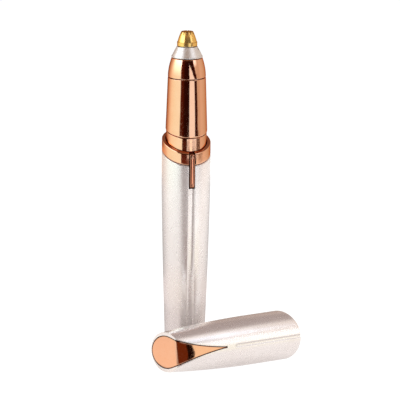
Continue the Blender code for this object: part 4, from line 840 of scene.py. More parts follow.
def insert_surface(sizes):
    """Teardrop plate that follows the scoop, a little below it, its top edges eased down."""
    fine, runs, stations = scoop(sizes)
    back = teardrop_half(sizes, np.zeros(1), 0.0)[1]
    tail = stations[(stations > 0) & (stations < TAIL_LENGTH - INSERT_TAIL_MARGIN)]
    disc = -back * np.cos(np.linspace(0, math.pi / 2, 30))
    distance = np.concatenate([disc, tail, [TAIL_LENGTH]])
    half = teardrop_half(sizes, distance, 0.0)[0][:, None]
    half[0] = 0
    q = np.sin(np.linspace(-math.pi / 2, math.pi / 2, 25))
    top = half * q
    inset = half * (1 - np.abs(q))
    sunk = INSERT_SINK + INSERT_EDGE_DROP * (1 - eased(inset / INSERT_EDGE))
    sunk = np.concatenate([sunk, np.full_like(top, INSERT_SINK + INSERT_THICK)], 1)
    plate = on_scoop(fine, runs, distance, np.concatenate([top, top[:, ::-1]], 1), sunk)
    last = np.broadcast_to(plate[-1].mean(0), plate[-1].shape)[None]
    # Painted shade: dark along the plate's top edges, over all of its underside and at its tail end
    crevice = np.concatenate([eased(1 - inset / INSERT_SHADE), np.ones_like(top)], 1)
    return *skin(np.concatenate([plate, last])), np.vstack([crevice, np.ones_like(crevice[:1])])


def linked(name, data):
    """New object in the scene."""
    item = bpy.data.objects.new(name, data)
    bpy.context.scene.collection.objects.link(item)
    return item


def mesh_object(name, points, faces, finish):
    """New object with a mesh of points and faces, all in one finish."""
    mesh = bpy.data.meshes.new(name)
    mesh.from_pydata(points.tolist(), [], faces.tolist())
    mesh.materials.append(finish)
    return linked(name, mesh)


def add_piece(name, surface, finish, body, slot, node, place=TRIMMER_PLACE, bevel=0.0):
    """Object from a surface's (points, faces) or (points, faces, painted shade).

    Doubles are welded and faces turned outwards.  Painted shade, the share of dark painted
    into narrow gaps where shade falls, is kept as an attribute.  The piece stands for the CAD
    node and rides on its body; a bevel rounds its sharp edges.
    """
    scene = bpy.context.scene
    points, faces, *crevice = surface(scene.trimmer_sizes)
    points = points @ np.array(place.to_3x3()).T + np.array(place.translation)
    piece = mesh_object(name, points, faces, finish(scene.trimmer_finishes))
    mesh = piece.data
    for values in crevice:
        attribute = mesh.attributes.new("crevice", "FLOAT", "POINT")
        attribute.data.foreach_set("value", np.ravel(values).astype(np.float32))
    solid = bmesh.new()
    solid.from_mesh(mesh)
    bmesh.ops.remove_doubles(solid, verts=solid.verts, dist=WELD)
    bmesh.ops.recalc_face_normals(solid, faces=solid.faces)
    open_edges = sum(not edge.is_manifold for edge in solid.edges)
    if open_edges:
        raise RuntimeError(f"{name} has {open_edges} open edges")
    solid.to_mesh(mesh)
    solid.free()
    mesh.shade_smooth()
    mesh.set_sharp_from_angle(angle=CREASE)
    if bevel:
        edge = piece.modifiers.new("edges", "BEVEL")
        edge.width, edge.segments = bevel, 2
        edge.limit_method, edge.angle_limit = "ANGLE", BEVEL_LIMIT
        edge.harden_normals = False
    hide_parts(node)
    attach(piece, body)
    return piece


def maths(operation, reflected=False):
    """Operator of a Wire that adds a Math node."""

    def method(self, other):
        pair = (other, self) if reflected else (self, other)
        return self.recipe.sum(operation, *pair)

    return method


class Wire:
    """A node's output; a sum written with it adds its Math nodes."""

    def __init__(self, recipe, socket):
        self.recipe = recipe
        self.socket = socket

    __add__, __radd__ = maths("ADD"), maths("ADD", True)
    __sub__, __rsub__ = maths("SUBTRACT"), maths("SUBTRACT", True)
    __mul__, __rmul__ = maths("MULTIPLY"), maths("MULTIPLY", True)
    __truediv__, __rtruediv__ = maths("DIVIDE"), maths("DIVIDE", True)
    __gt__, __lt__ = maths("GREATER_THAN"), maths("LESS_THAN")


class Recipe:
    """Node tree of one finish, of the floor or of the world."""

    def __init__(self, owner):
        self.owner = bpy.data.materials.new(owner) if isinstance(owner, str) else owner
        self.owner.use_nodes = True
        self.tree = self.owner.node_tree
        self.tree.nodes.clear()

    def node(self, kind, inputs=None, output=0, **settings):
        """Adds a node: its settings, then values or wires of its inputs; returns one output."""
        made = self.tree.nodes.new(kind)
        for key, value in settings.items():
            if key == "stops":
                self.set_stops(made.color_ramp, value)
            else:
                setattr(made, key, value)
        for key, value in (inputs or {}).items():
            if isinstance(value, Wire):
                self.tree.links.new(value.socket, made.inputs[key])
            else:
                made.inputs[key].default_value = value
        return Wire(self, made.outputs[output]) if made.outputs else None

    def set_stops(self, ramp, stops):
        """Stops of a ramp as (place, colour) pairs."""
        for _ in stops[2:]:
            ramp.elements.new(0.5)
        for element, (place, colour) in zip(ramp.elements, stops):
            element.position = place
            element.color = colour

    def sum(self, operation, *values):
        return self.node("ShaderNodeMath", dict(enumerate(values)), operation=operation)

    def held(self, value, low, high, to_low=0.0, to_high=1.0):
        """Value carried from one span to another and held at its ends."""
        inputs = {"Value": value, "From Min": low, "From Max": high}
        return self.node("ShaderNodeMapRange", {**inputs, "To Min": to_low, "To Max": to_high})

    def blend(self, factor, first, second):
        """Mix of two colours."""
        first, second = (
            value if isinstance(value, Wire) else (*tuple(value)[:3], 1)
            for value in (first, second)
        )
        return self.node("ShaderNodeMix", {0: factor, 6: first, 7: second}, 2, data_type="RGBA")

    def coordinates(self, scale=(1, 1, 1)):
        own = self.node("ShaderNodeTexCoord", output="Object")
        return self.node("ShaderNodeMapping", {"Vector": own, "Scale": scale})

    def noise(self, where, scale, detail=2.0, roughness=0.5):
        inputs = {"Vector": where, "Scale": scale, "Detail": detail, "Roughness": roughness}
        return self.node("ShaderNodeTexNoise", inputs)

    def cells(self, where, scale, output, **settings):
        return self.node(
            "ShaderNodeTexVoronoi", {"Vector": where, "Scale": scale}, output, **settings
        )

    def crevice(self):
        """Painted shade in narrow gaps, from the piece's own attribute."""
        return self.node("ShaderNodeAttribute", output="Fac", attribute_name="crevice")

    def bump(self, height, distance, strength, before=None):
        inputs = {"Height": height, "Distance": distance, "Strength": strength}
        if before:
            inputs["Normal"] = before
        return self.node("ShaderNodeBump", inputs)

    def coat(self, **inputs):
        """Principled shader as the finish."""
        named = {key.replace("_", " ").title(): value for key, value in inputs.items()}
        shader = self.node("ShaderNodeBsdfPrincipled", named)
        self.node("ShaderNodeOutputMaterial", {"Surface": shader})
        return self.owner

    def glow(self, colour):
        """Even light of a reflection card as the finish."""
        light = self.node("ShaderNodeEmission", {"Color": colour, "Strength": CARD_STRENGTH})
        self.node("ShaderNodeOutputMaterial", {"Surface": light})
        return self.owner


# Patterns of the finishes: scales in counts per metre, and heights under the gloss
FLAKE_SCALE, CLOUD_SCALE, LACQUER_SCALE, LACQUER_GRAIN = 3300.0, 160.0, 2600.0, 0.0025 * MM
SMUDGE_SCALE, WAVE_SCALE, DUST_SCALE, DUST_GRAIN = 420.0, 120.0, 3000.0, 0.0012 * MM
LINE_SCALE, LINE_STRETCH, LINE_GRAIN = 900.0, (1, 1, 14), 0.001 * MM
DRAWN_SCALE, TARNISH_SCALE, DRAWN_GRAIN = 700.0, 500.0, 0.005 * MM
MOULD_SCALE, FLOW_SCALE, MOULD_GRAIN, RUBBER_GRAIN = 3200.0, 220.0, 0.012 * MM, 0.03 * MM
TRACK_SCALE, TRACK_RISE = 900.0, 0.02 * MM
SPECK_SCALE, SPECK_GRAIN = 900.0, 0.003 * MM
GOLD_WAVE, BAR_WAVE = 0.01 * MM, 0.005 * MM

# Tones of the finishes that no property sets
PEARL_FLAKE = (1.0, 0.97, 0.955)
# Painted shade that narrow gaps get on the pearl lacquer and on the plating
PEARL_PAINTED_SHADE = (0.06, 0.010, 0.006)
PLATE_PAINTED_SHADE = (0.085, 0.006, 0.003)
GOLD_DEEP_SHARES = (0.88, 0.76, 0.55)
BAR_DEEP_SHARES = (0.7, 0.7, 0.7)
GOLD_METAL, SILVER_METAL = 0.86, 0.85
SILVER_LINE = (0.93, 0.91, 0.90)
# Painted shade that narrow gaps get on the satin silver
SILVER_PAINTED_SHADE = (0.03, 0.025, 0.025)
BOARD_GREEN, BOARD_TRACK = (0.02, 0.16, 0.06), (0.05, 0.30, 0.10)
CELL_JACKET, CELL_END = (0.09, 0.09, 0.10), (0.62, 0.62, 0.60)
CELL_LOW_END, CELL_HIGH_END = 0.8 * MM, 2.6 * MM


def pearl_finish(name, finishes):
    """Pearl lacquer: soft lustre over fine flakes, with faint clouds in its tone."""
    r = Recipe(name)
    where = r.coordinates()
    pick = r.node("ShaderNodeSeparateColor", {"Color": r.cells(where, FLAKE_SCALE, "Color")}, 0)
    cloud = r.noise(where, CLOUD_SCALE, 3.0)
    tone = r.held(cloud, 0.3, 0.7, 0.0, 0.35) + r.held(pick, 0.30, 0.0) * 0.08
    colour = r.blend(tone, finishes.pearl, finishes.pearl_deep)
    colour = r.blend(r.held(pick, 0.72, 1.0) * 0.12, colour, PEARL_FLAKE)
    rough = finishes.pearl_roughness + 0.02 * pick + r.held(cloud, 0.3, 0.7, -0.03, 0.03)
    return r.coat(
        # Painted shade: the colour darkens and the clear coat thins in narrow gaps, as the piece's
        # attribute says
        base_color=r.blend(r.crevice(), colour, PEARL_PAINTED_SHADE),
        metallic=finishes.pearl_metal,
        roughness=rough,
        coat_weight=0.5 - 0.5 * r.crevice(),
        coat_roughness=0.08,
        normal=r.bump(r.noise(where, LACQUER_SCALE), LACQUER_GRAIN, 0.5),
    )


def plated_finish(name, colour, deep, roughness, wave, metal=1.0):
    """Polished plating: slight waves under the gloss, soft smudges and fine dust on it."""
    r = Recipe(name)
    where = r.coordinates()
    smudge = r.noise(where, SMUDGE_SCALE, 4.0, 0.6)
    dust = r.noise(where, DUST_SCALE, 1.0)
    rough = r.held(smudge, 0.45, 0.8, 0.0, 0.06) + r.held(dust, 0.62, 0.8, 0.0, 0.10)
    waves = r.bump(r.noise(where, WAVE_SCALE), wave, 1.0)
    shown = r.blend(r.held(smudge, 0.35, 0.75, 0.0, 0.5), colour, deep)
    return r.coat(
        # Painted shade: the colour darkens in narrow gaps, as the piece's attribute says
        base_color=r.blend(r.crevice(), shown, PLATE_PAINTED_SHADE),
        metallic=metal,
        roughness=roughness + rough,
        specular_tint=(*deep[:3], 1),
        normal=r.bump(dust, DUST_GRAIN, 0.4, waves),
    )


def satin_finish(name, finishes):
    """Satin silver: fine level lines round the cone."""
    r = Recipe(name)
    lines = r.noise(r.coordinates(LINE_STRETCH), LINE_SCALE)
    colour = r.blend(r.held(lines, 0.35, 0.7), finishes.silver, SILVER_LINE)
    return r.coat(
        # Painted shade: the colour darkens in narrow gaps and the dimple, as the piece's attribute
        # says
        base_color=r.blend(r.crevice(), colour, SILVER_PAINTED_SHADE),
        metallic=SILVER_METAL,
        roughness=finishes.silver_roughness + 0.08 * lines,
        normal=r.bump(lines, LINE_GRAIN, 0.3),
    )


def metal_finish(name, colour, roughness, stretch):
    """Plain metal: drawn lines in its roughness and small spots of tarnish."""
    r = Recipe(name)
    lines = r.noise(r.coordinates(stretch), DRAWN_SCALE, 3.0)
    spots = r.held(r.noise(r.coordinates(), TARNISH_SCALE, 3.0), 0.45, 0.75, 0.0, 0.6)
    return r.coat(
        base_color=r.blend(spots, colour, [channel * 0.72 for channel in colour]),
        metallic=1.0,
        roughness=roughness + 0.16 * lines,
        normal=r.bump(lines, DRAWN_GRAIN, 0.4),
    )


def moulded_finish(name, colour, roughness, grain=MOULD_GRAIN):
    """Moulded plastic: fine spark-eroded grain and faint flow marks."""
    r = Recipe(name)
    where = r.coordinates()
    fine = r.noise(where, MOULD_SCALE)
    flow = r.held(r.noise(where, FLOW_SCALE), 0.35, 0.7, 0.0, 0.6)
    return r.coat(
        base_color=r.blend(flow, colour, [min(1.0, part * 1.25 + 0.012) for part in colour]),
        roughness=roughness + 0.12 * fine,
        normal=r.bump(fine, grain, 0.5),
    )


def board_finish(name):
    """Solder mask with paler tracks under it."""
    r = Recipe(name)
    tracks = r.cells(r.coordinates(), TRACK_SCALE, "Distance", feature="DISTANCE_TO_EDGE")
    line = r.held(tracks, 0.10, 0.05)
    return r.coat(
        base_color=r.blend(line, BOARD_GREEN, BOARD_TRACK),
        roughness=r.held(line, 0.0, 1.0, 0.35, 0.28),
        normal=r.bump(line, TRACK_RISE, 0.4),
    )


def cell_finish(name):
    """Plain metal jacket of the cell, bright at its ends."""
    r = Recipe(name)
    where = r.coordinates()
    height = r.node("ShaderNodeSeparateXYZ", {"Vector": where}, 2)
    low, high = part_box("battery_cell")
    ends = (height < low.z + CELL_LOW_END) + (height > high.z - CELL_HIGH_END)
    specks = r.noise(where, SPECK_SCALE, 3.0)
    return r.coat(
        base_color=r.blend(ends, CELL_JACKET, CELL_END),
        metallic=r.held(ends, 0.0, 1.0, 0.5, 1.0),
        roughness=0.26 + 0.14 * specks,
        normal=r.bump(specks, SPECK_GRAIN, 0.4),
    )


def shared(name, make, *values):
    """A finish that is made once and then shared."""
    return bpy.data.materials.get(name) or make(name, *values)


def deepened(colour, shares):
    """Second tone of a plating: a share of each channel."""
    return [channel * part for channel, part in zip(colour, shares)]


def pearl(f):
    return shared("pearl_lacquer", pearl_finish, f)


def rose_gold(f):
    return shared(
        "rose_gold_plate", plated_finish, f.rose, f.rose_deep, f.rose_roughness, f.rose_wave
    )


# Painted shade: a darker copy of the rose gold plating for the switch bar
def bar_gold_painted_shade(f):
    deep = deepened(f.bar, BAR_DEEP_SHARES)
    return plated_finish("rose_gold_bar", f.bar, deep, f.rose_roughness, BAR_WAVE)


def gold(f):
    deep = deepened(f.gold, GOLD_DEEP_SHARES)
    return plated_finish("gold_plate", f.gold, deep, f.gold_roughness, GOLD_WAVE, GOLD_METAL)


def silver(f):
    return satin_finish("satin_silver", f)


class PieceOperator:
    """What the operators that make pieces share."""

    bl_options = {"REGISTER", "UNDO"}


class TRIMMER_OT_barrel(PieceOperator, bpy.types.Operator):
    """Barrel with its finger groove and switch slot"""

    bl_idname = "trimmer.barrel"
    bl_label = "Barrel"

    def execute(self, context):
        add_piece("barrel_pearl", barrel_surface, pearl, "barrel", "pearl_shell", "barrel_shell")
        return {"FINISHED"}


class TRIMMER_OT_collar(PieceOperator, bpy.types.Operator):
    """Collar ring and the sleeve that the cap slides over"""

    bl_idname = "trimmer.collar"
    bl_label = "Collar"

    def execute(self, context):
        look = (rose_gold, "upper_unit", "rose_gold")
        add_piece("collar_ring_plated", ring_surface, *look, "collar_ring", bevel=RING_BEVEL)
        add_piece("cap_seat_plated", seat_surface, *look, "cap_seat")
        return {"FINISHED"}


class TRIMMER_OT_neck(PieceOperator, bpy.types.Operator):
    """Long neck shell over the motor"""

    bl_idname = "trimmer.neck"
    bl_label = "Neck"

    def execute(self, context):
        add_piece("neck_plated", neck_surface, rose_gold, "upper_unit", "rose_gold", "neck_shell")
        return {"FINISHED"}


class TRIMMER_OT_head(PieceOperator, bpy.types.Operator):
    """Head shell and silver bezel"""

    bl_idname = "trimmer.head"
    bl_label = "Head"

    def execute(self, context):
        add_piece("head_plated", head_surface, rose_gold, "head", "rose_gold", "head_shell")
        add_piece("bezel_satin", bezel_surface, silver, "head", "silver_trim", "bezel_cone")
        return {"FINISHED"}


class TRIMMER_OT_guard(PieceOperator, bpy.types.Operator):
    """Slotted gold guard over the cutter"""

    bl_idname = "trimmer.guard"
    bl_label = "Guard"

    def execute(self, context):
        add_piece("guard_gold", guard_surface, gold, "head", "gold_guard", "guard_tip")
        return {"FINISHED"}


class TRIMMER_OT_switch_bar(PieceOperator, bpy.types.Operator):
    """Sliding switch bar with its stem"""

    bl_idname = "trimmer.switch_bar"
    bl_label = "Switch bar"

    def execute(self, context):
        add_piece("switch_bar_plated", bar_surface, bar_gold_painted_shade, "switch", "rose_gold", "switch_bar")
        return {"FINISHED"}


class TRIMMER_OT_cap(PieceOperator, bpy.types.Operator):
    """Cap shell and the teardrop plate in its scooped end"""

    bl_idname = "trimmer.cap"
    bl_label = "Cap"

    def execute(self, context):
        shell = (cap_surface, pearl, "cap", "pearl_shell", "cap_shell")
        plate = (insert_surface, rose_gold, "cap", "rose_gold", "cap_insert")
        add_piece("cap_pearl", *shell, place=CAP_PLACE)
        add_piece("cap_insert_plated", *plate, place=CAP_PLACE)
        return {"FINISHED"}


# Finishes inside, by material slot: maker, name, then colour, roughness and grain or stretch
INSIDE_FINISHES = {
    "black_plastic": (moulded_finish, "black_moulding", (0.028, 0.028, 0.030), 0.42),
    "white_plastic": (moulded_finish, "white_moulding", (0.78, 0.77, 0.74), 0.38),
    "rubber": (moulded_finish, "soft_rubber", (0.030, 0.030, 0.030), 0.68, RUBBER_GRAIN),
    "lead_red": (moulded_finish, "red_lead", (0.52, 0.02, 0.02), 0.35),
    "lead_black": (moulded_finish, "black_lead", (0.022, 0.022, 0.022), 0.35),
    "steel": (metal_finish, "drawn_steel", (0.58, 0.58, 0.59), 0.22, (1, 1, 0.1)),
    "spring_steel": (metal_finish, "nickel_wire", (0.66, 0.65, 0.61), 0.18, (1, 1, 1)),
    "blade_steel": (metal_finish, "ground_steel", (0.70, 0.70, 0.71), 0.16, (1, 1, 8)),
    "brass": (metal_finish, "bare_brass", (0.76, 0.57, 0.24), 0.24, (1, 1, 1)),
    "board": (board_finish, "solder_mask"),
    "cell_jacket": (cell_finish, "cell_jacket_metal"),
    "cell": (cell_finish, "cell_jacket_metal"),
}


class TRIMMER_OT_inside(PieceOperator, bpy.types.Operator):
    """Finishes of the pieces inside, which keep their CAD meshes"""

    bl_idname = "trimmer.inside"
    bl_label = "Inside"

    def execute(self, context):
        for name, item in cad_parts.items():
            if item.hide_render:
                continue
            for slot in item.material_slots:
                own = slot.material.name.split(".")[0] if slot.material else ""
                if own not in INSIDE_FINISHES:
                    raise RuntimeError(f"no finish for {name}: {own}")
                make, finish, *values = INSIDE_FINISHES[own]
                slot.material = shared(finish, make, *values)
        return {"FINISHED"}


# Painted reflections: the screen glows though it is no lamp, and shows only in the object's gloss
# Light of the reflection screen by turn from the camera in degrees: turn, red, green, blue
CARD_STRENGTH = 2.0
LEFT_CARDS = (
    (-180, 0.11, 0.065, 0.048),
    (-150, 0.16, 0.100, 0.075),
    (-128, 0.34, 0.240, 0.185),
    (-112, 0.47, 0.400, 0.320),
    (-95, 0.53, 0.540, 0.450),
    (-70, 0.53, 0.600, 0.520),
    (-20, 0.54, 0.635, 0.600),
)
RIGHT_CARDS = (
    (31, 0.56, 0.500, 0.460),
    (50, 0.46, 0.390, 0.340),
    (62, 0.35, 0.285, 0.230),
    (76, 0.34, 0.270, 0.215),
    (90, 0.40, 0.320, 0.260),
    (120, 0.35, 0.300, 0.240),
    (142, 0.30, 0.225, 0.180),
    (180, 0.17, 0.110, 0.085),
)
DARK_CARDS = (
    (-36, 0.050, 0.0090, 0.0030),
    (-20, 0.034, 0.0050, 0.0015),
    (-12, 0.012, 0.0020, 0.0007),
    (20, 0.009, 0.0015, 0.0005),
    (50, 0.022, 0.0035, 0.0015),
)
GROUND_CARDS = (
    (-180, 0.20, 0.190, 0.185),
    (-134, 0.27, 0.255, 0.250),
    (-112, 0.42, 0.395, 0.385),
    (-85, 0.55, 0.530, 0.520),
    (-28, 0.56, 0.540, 0.530),
    (-12, 0.205, 0.182, 0.173),
    (26, 0.205, 0.182, 0.173),
    (40, 0.56, 0.540, 0.520),
    (70, 0.60, 0.575, 0.545),
    (100, 0.55, 0.530, 0.510),
    (130, 0.40, 0.385, 0.375),
    (160, 0.24, 0.230, 0.225),
    (180, 0.20, 0.190, 0.185),
)
NEAR_CARDS = (
    (-180, 0.30, 0.270, 0.260),
    (-125, 0.40, 0.350, 0.340),
    (-90, 0.48, 0.430, 0.400),
    (-25, 0.53, 0.475, 0.425),
    (0, 0.46, 0.430, 0.415),
    (60, 0.46, 0.425, 0.410),
    (100, 0.38, 0.330, 0.310),
    (180, 0.30, 0.270, 0.260),
)
FOOT_CARDS = (
    (-180, 0.20, 0.180, 0.175),
    (-125, 0.27, 0.240, 0.235),
    (-85, 0.35, 0.310, 0.300),
    (-30, 0.35, 0.305, 0.295),
    (-12, 0.10, 0.075, 0.066),
    (40, 0.09, 0.065, 0.055),
    (70, 0.12, 0.090, 0.078),
    (110, 0.28, 0.240, 0.220),
    (180, 0.20, 0.180, 0.175),
)
# Cards of one tone: on the dome from low to high, then on the disc
LOW_LEFT_CARD = (0.46, 0.35, 0.28)
LOW_RIGHT_CARD = (0.62, 0.60, 0.58)
BROWN_CARD = (0.068, 0.013, 0.0055)
BLACK_CARD = (0.006, 0.0015, 0.0008)
STRIP_CARD = (0.52, 0.56, 0.60)
SHOULDER_CARD = (1.1, 1.2, 1.2)
WINDOW_CARD = (1.3, 1.45, 1.6)
GLINT_CARD = (0.80, 0.85, 0.95)
HIGH_LEFT_CARD = (0.50, 0.475, 0.46)
HIGH_MIDDLE_CARD = (0.17, 0.10, 0.055)
HIGH_RIGHT_CARD = (0.55, 0.51, 0.48)
OVERHEAD_CARD = (0.105, 0.056, 0.042)
FRONT_CARD = (0.47, 0.445, 0.43)
CONTACT_CARD = (0.38, 0.355, 0.345)
LINE_CARD = (1.35, 1.2, 1.1)
UNLIT = (0.0, 0.0, 0.0)
EDGE_WAVE, EDGE_WAVE_SCALE = 9.0, 38.0

# Edges of the cards, from where each begins to where it ends: heights as shares of the radius
SHOULDER_RISE, WINDOW_RISE = (0.3, 0.62), (0.58, 0.68)
GLINT_RISE, RING_RISE = (0.56, 0.66), (0.052, 0.057)
HIGH_LEFT_RISE, HIGH_MIDDLE_RISE, HIGH_RIGHT_RISE = (0.75, 0.81), (0.72, 0.80), (0.76, 0.82)
LOW_LEFT_FALL, LOW_RIGHT_FALL, BAR_FALL = (0.056, 0.048), (0.034, 0.026), (0.052, 0.046)
OVERHEAD_RISE, DISC_RISE = (-0.07, 0.05), 0.0008
# Turns in degrees
LEFT_SIDE, LOW_LEFT_SIDE = (-108, -84), (-98, -118)
GLINT_SIDE, BLACK_SIDE, FRONT_SIDE = (74, 62), (23.5, 25.5), (-18, -4)
STRIP_END, LOW_RIGHT_START = 60, 48
BAR_LEFT, BAR_MIDDLE, BAR_RIGHT = 19, 33, 47
# Slanted edges: two heights and the turns at them; steps: two heights and how far back it goes
LEFT_END, STRIP_START = (0.095, 0.11, -22, -36), (0.09, 0.11, 4, 15)
STRIP_STEPS = ((0.08, 0.12, 12), (0.2, 0.58, 23), (0.58, 0.68, 15))
DARK_END, DARK_STEPS = (0.049, 0.051, 31, 82), ((0.08, 0.14, 18), (0.2, 0.6, 16), (0.76, 0.82, 18))
OVERHEAD_EDGE = (64, 125, 0.93, 0.68)
# On the disc: reaches in millimetres, and where its part before the trimmer begins
GROUND_DIM, GROUND_DIM_REACH = 0.24, (210, 95)
NEAR_REACH, FOOT_REACH, BAR_REACH = (90, 82), (52, 46), (226, 232)
FRONT_REACH, CONTACT_REACH = (52, 48), (48, 42)
BEFORE_Y = (-31 * MM, -35 * MM)

# Painted reflections: these cards glow though they are no lamps, and show only in the object's
# gloss
# Small cards that stand before the cap: name, left, right, bottom, top, lean at the left, light
STANDING_Y = -75 * MM
STANDING_WAVE = 1.0 * MM
STANDING_WAVE_LENGTH = 7.0 * MM
STANDING_CARDS = (
    ("brown_card", -57.5 * MM, -24.5 * MM, 0.0, 18 * MM, 21 * MM, (0.070, 0.015, 0.0040)),
    ("black_card", -24.5 * MM, -18.0 * MM, 0.0, 18 * MM, 0.0, BLACK_CARD),
    ("cream_card", -18.0 * MM, 62 * MM, 0.0, 16 * MM, 0.0, (0.51, 0.485, 0.400)),
    ("white_card", -18.0 * MM, 62 * MM, 16 * MM, 36 * MM, 0.0, (0.62, 0.615, 0.605)),
)


def screen_paint(studio):
    """Light of the reflection screen: cards whose edges shift with height, dim overhead.

    Turn is the angle from the camera in degrees and height the share of the screen's radius;
    on the disc, reach is the distance from its middle in millimetres.
    """
    r = Recipe("reflection_screen")
    where = r.node("ShaderNodeTexCoord", output="Object")
    own_y = r.node("ShaderNodeSeparateXYZ", {"Vector": where}, 1)
    turning_back = {"Vector": where, "Rotation": (0, 0, -studio.camera_turn)}
    turned = r.node("ShaderNodeMapping", turning_back)
    x, y, z = (r.node("ShaderNodeSeparateXYZ", {"Vector": turned}, axis) for axis in range(3))
    turn = r.sum("ARCTAN2", x, 0.0 - y) * math.degrees(1)
    waved = turn + (r.noise(where, EDGE_WAVE_SCALE) - 0.5) * EDGE_WAVE
    height = z / studio.screen_radius
    reach = r.sum("SQRT", x * x + y * y) / MM
    place = turn / 360 + 0.5

    def past(edge):
        return r.held(waved - edge, -1, 1)

    def at_height(low, high, *ends):
        return r.held(height, low, high, *ends)

    def at_turn(low, high):
        return r.held(turn, low, high)

    def within(far, near):
        return r.held(reach, far, near)

    def cards(rows):
        stops = [((turned_by + 180) / 360, (*colour, 1)) for turned_by, *colour in rows]
        return r.node("ShaderNodeValToRGB", {"Fac": place}, stops=stops)

    def stepped(edge, steps):
        for low, high, back in steps:
            edge = edge - at_height(low, high, 0, back)
        return edge

    left_side = at_turn(*LEFT_SIDE)
    left = r.blend(at_height(*SHOULDER_RISE) * left_side, cards(LEFT_CARDS), SHOULDER_CARD)
    left = r.blend(at_height(*WINDOW_RISE) * left_side, left, WINDOW_CARD)
    left = r.blend(at_height(*HIGH_LEFT_RISE), left, HIGH_LEFT_CARD)
    left = r.blend(at_height(*LOW_LEFT_FALL) * at_turn(*LOW_LEFT_SIDE), left, LOW_LEFT_CARD)
    glint = at_height(*GLINT_RISE) * at_turn(*GLINT_SIDE)
    right = r.blend(glint, cards(RIGHT_CARDS), GLINT_CARD)
    right = r.blend(at_height(*HIGH_RIGHT_RISE), right, HIGH_RIGHT_CARD)
    middle = r.blend(at_height(*HIGH_MIDDLE_RISE), cards(DARK_CARDS), HIGH_MIDDLE_CARD)
    low = r.blend(at_turn(*BLACK_SIDE), BROWN_CARD, BLACK_CARD)
    over_ring = at_height(*RING_RISE)
    middle = r.blend(over_ring, low, middle)
    colour = r.blend(past(at_height(*LEFT_END)), left, middle)
    strip = past(at_height(*STRIP_START)) * (1 - past(stepped(STRIP_END, STRIP_STEPS)))
    colour = r.blend(strip * over_ring, colour, STRIP_CARD)
    colour = r.blend(past(stepped(at_height(*DARK_END), DARK_STEPS)), colour, right)
    top = r.held(r.sum("ABSOLUTE", turn), *OVERHEAD_EDGE)
    colour = r.blend(r.held(height - top, *OVERHEAD_RISE), colour, OVERHEAD_CARD)
    colour = r.blend(at_height(*LOW_RIGHT_FALL) * past(LOW_RIGHT_START), colour, LOW_RIGHT_CARD)

    before = r.held(own_y, *BEFORE_Y)
    ground = r.blend(within(*GROUND_DIM_REACH) * GROUND_DIM, cards(GROUND_CARDS), UNLIT)
    ground = r.blend(within(*NEAR_REACH), ground, cards(NEAR_CARDS))
    front = within(*NEAR_REACH) * at_turn(*FRONT_SIDE) + within(*FRONT_REACH)
    ground = r.blend(before * front, ground, FRONT_CARD)
    ground = r.blend(before * within(*CONTACT_REACH), ground, CONTACT_CARD)
    ground = r.blend(within(*FOOT_REACH) * (1 - before), ground, cards(FOOT_CARDS))
    colour = r.blend(height > DISC_RISE, ground, colour)
    # Painted reflection on the switch bar: a black stripe and a bright line where the bar's gloss
    # sees the disc
    at_bar = within(*BAR_REACH) * at_height(*BAR_FALL)
    colour = r.blend(at_bar * past(BAR_MIDDLE) * (1 - past(BAR_RIGHT)), colour, BLACK_CARD)
    colour = r.blend(at_bar * past(BAR_LEFT) * (1 - past(BAR_MIDDLE)), colour, LINE_CARD)
    return r.glow(colour)


def add_screen(studio):
    """Dome, disc and standing cards, seen only in the object's gloss and nowhere else.

    The dome is (R cos e sin a, -R cos e cos a, R sin e).
    """
    radius = studio.screen_radius
    paint = screen_paint(studio)
    angles = np.linspace(0, math.tau, 96, endpoint=False)
    lift = np.linspace(0, math.pi / 2, 25)[:, None]
    dome = around(radius * np.cos(lift), angles, radius * np.sin(lift))
    disc = around(np.linspace(0, radius, 5)[:, None], angles, 0.01 * MM)
    shapes = [("reflection_dome", dome, True, paint), ("reflection_disc", disc, True, paint)]
    for name, left, right, bottom, top, lean, colour in STANDING_CARDS:
        z = np.linspace(bottom, top, 25)[:, None]
        wave = STANDING_WAVE * np.sin(z / STANDING_WAVE_LENGTH * math.tau)
        lean = lean * (0.5 - (z - bottom) / (top - bottom))
        x = np.hstack([left + wave + lean, right + wave])
        card = np.stack([x, np.full_like(x, STANDING_Y), np.hstack([z, z])], -1)
        shapes.append((name, card, False, Recipe(name).glow((*colour, 1))))
    for name, grid, closed, paint in shapes:
        item = mesh_object(name, *skin(grid, wrap_cols=closed), paint)
        item.visible_camera = item.visible_diffuse = item.visible_shadow = False
        item.visible_transmission = item.visible_volume_scatter = False


# Lamps: turn from the camera, then level distance, height, size and colour
KEY_TURN, FILL_TURN = math.radians(-66), math.radians(72)
KEY_LAMP = (0.34, 0.24, 0.26, (1.0, 0.985, 0.965))
FILL_LAMP = (0.42, 0.20, 0.30, (1.0, 0.99, 0.98))
PAPER, PAPER_FIBRE, PAPER_GLOW = (0.78, 0.78, 0.775), (0.82, 0.815, 0.81), (0.93, 0.93, 0.93)
FLOOR_HALF, FIBRE_SCALE = 3.0, 90.0


def seen_straight(r):
    """One for camera, glossy and transmission rays, and nought for the rest."""
    camera, glossy, transmission = (
        r.node("ShaderNodeLightPath", output=f"Is {kind} Ray")
        for kind in ("Camera", "Glossy", "Transmission")
    )
    return r.node("ShaderNodeClamp", {"Value": camera + glossy + transmission})


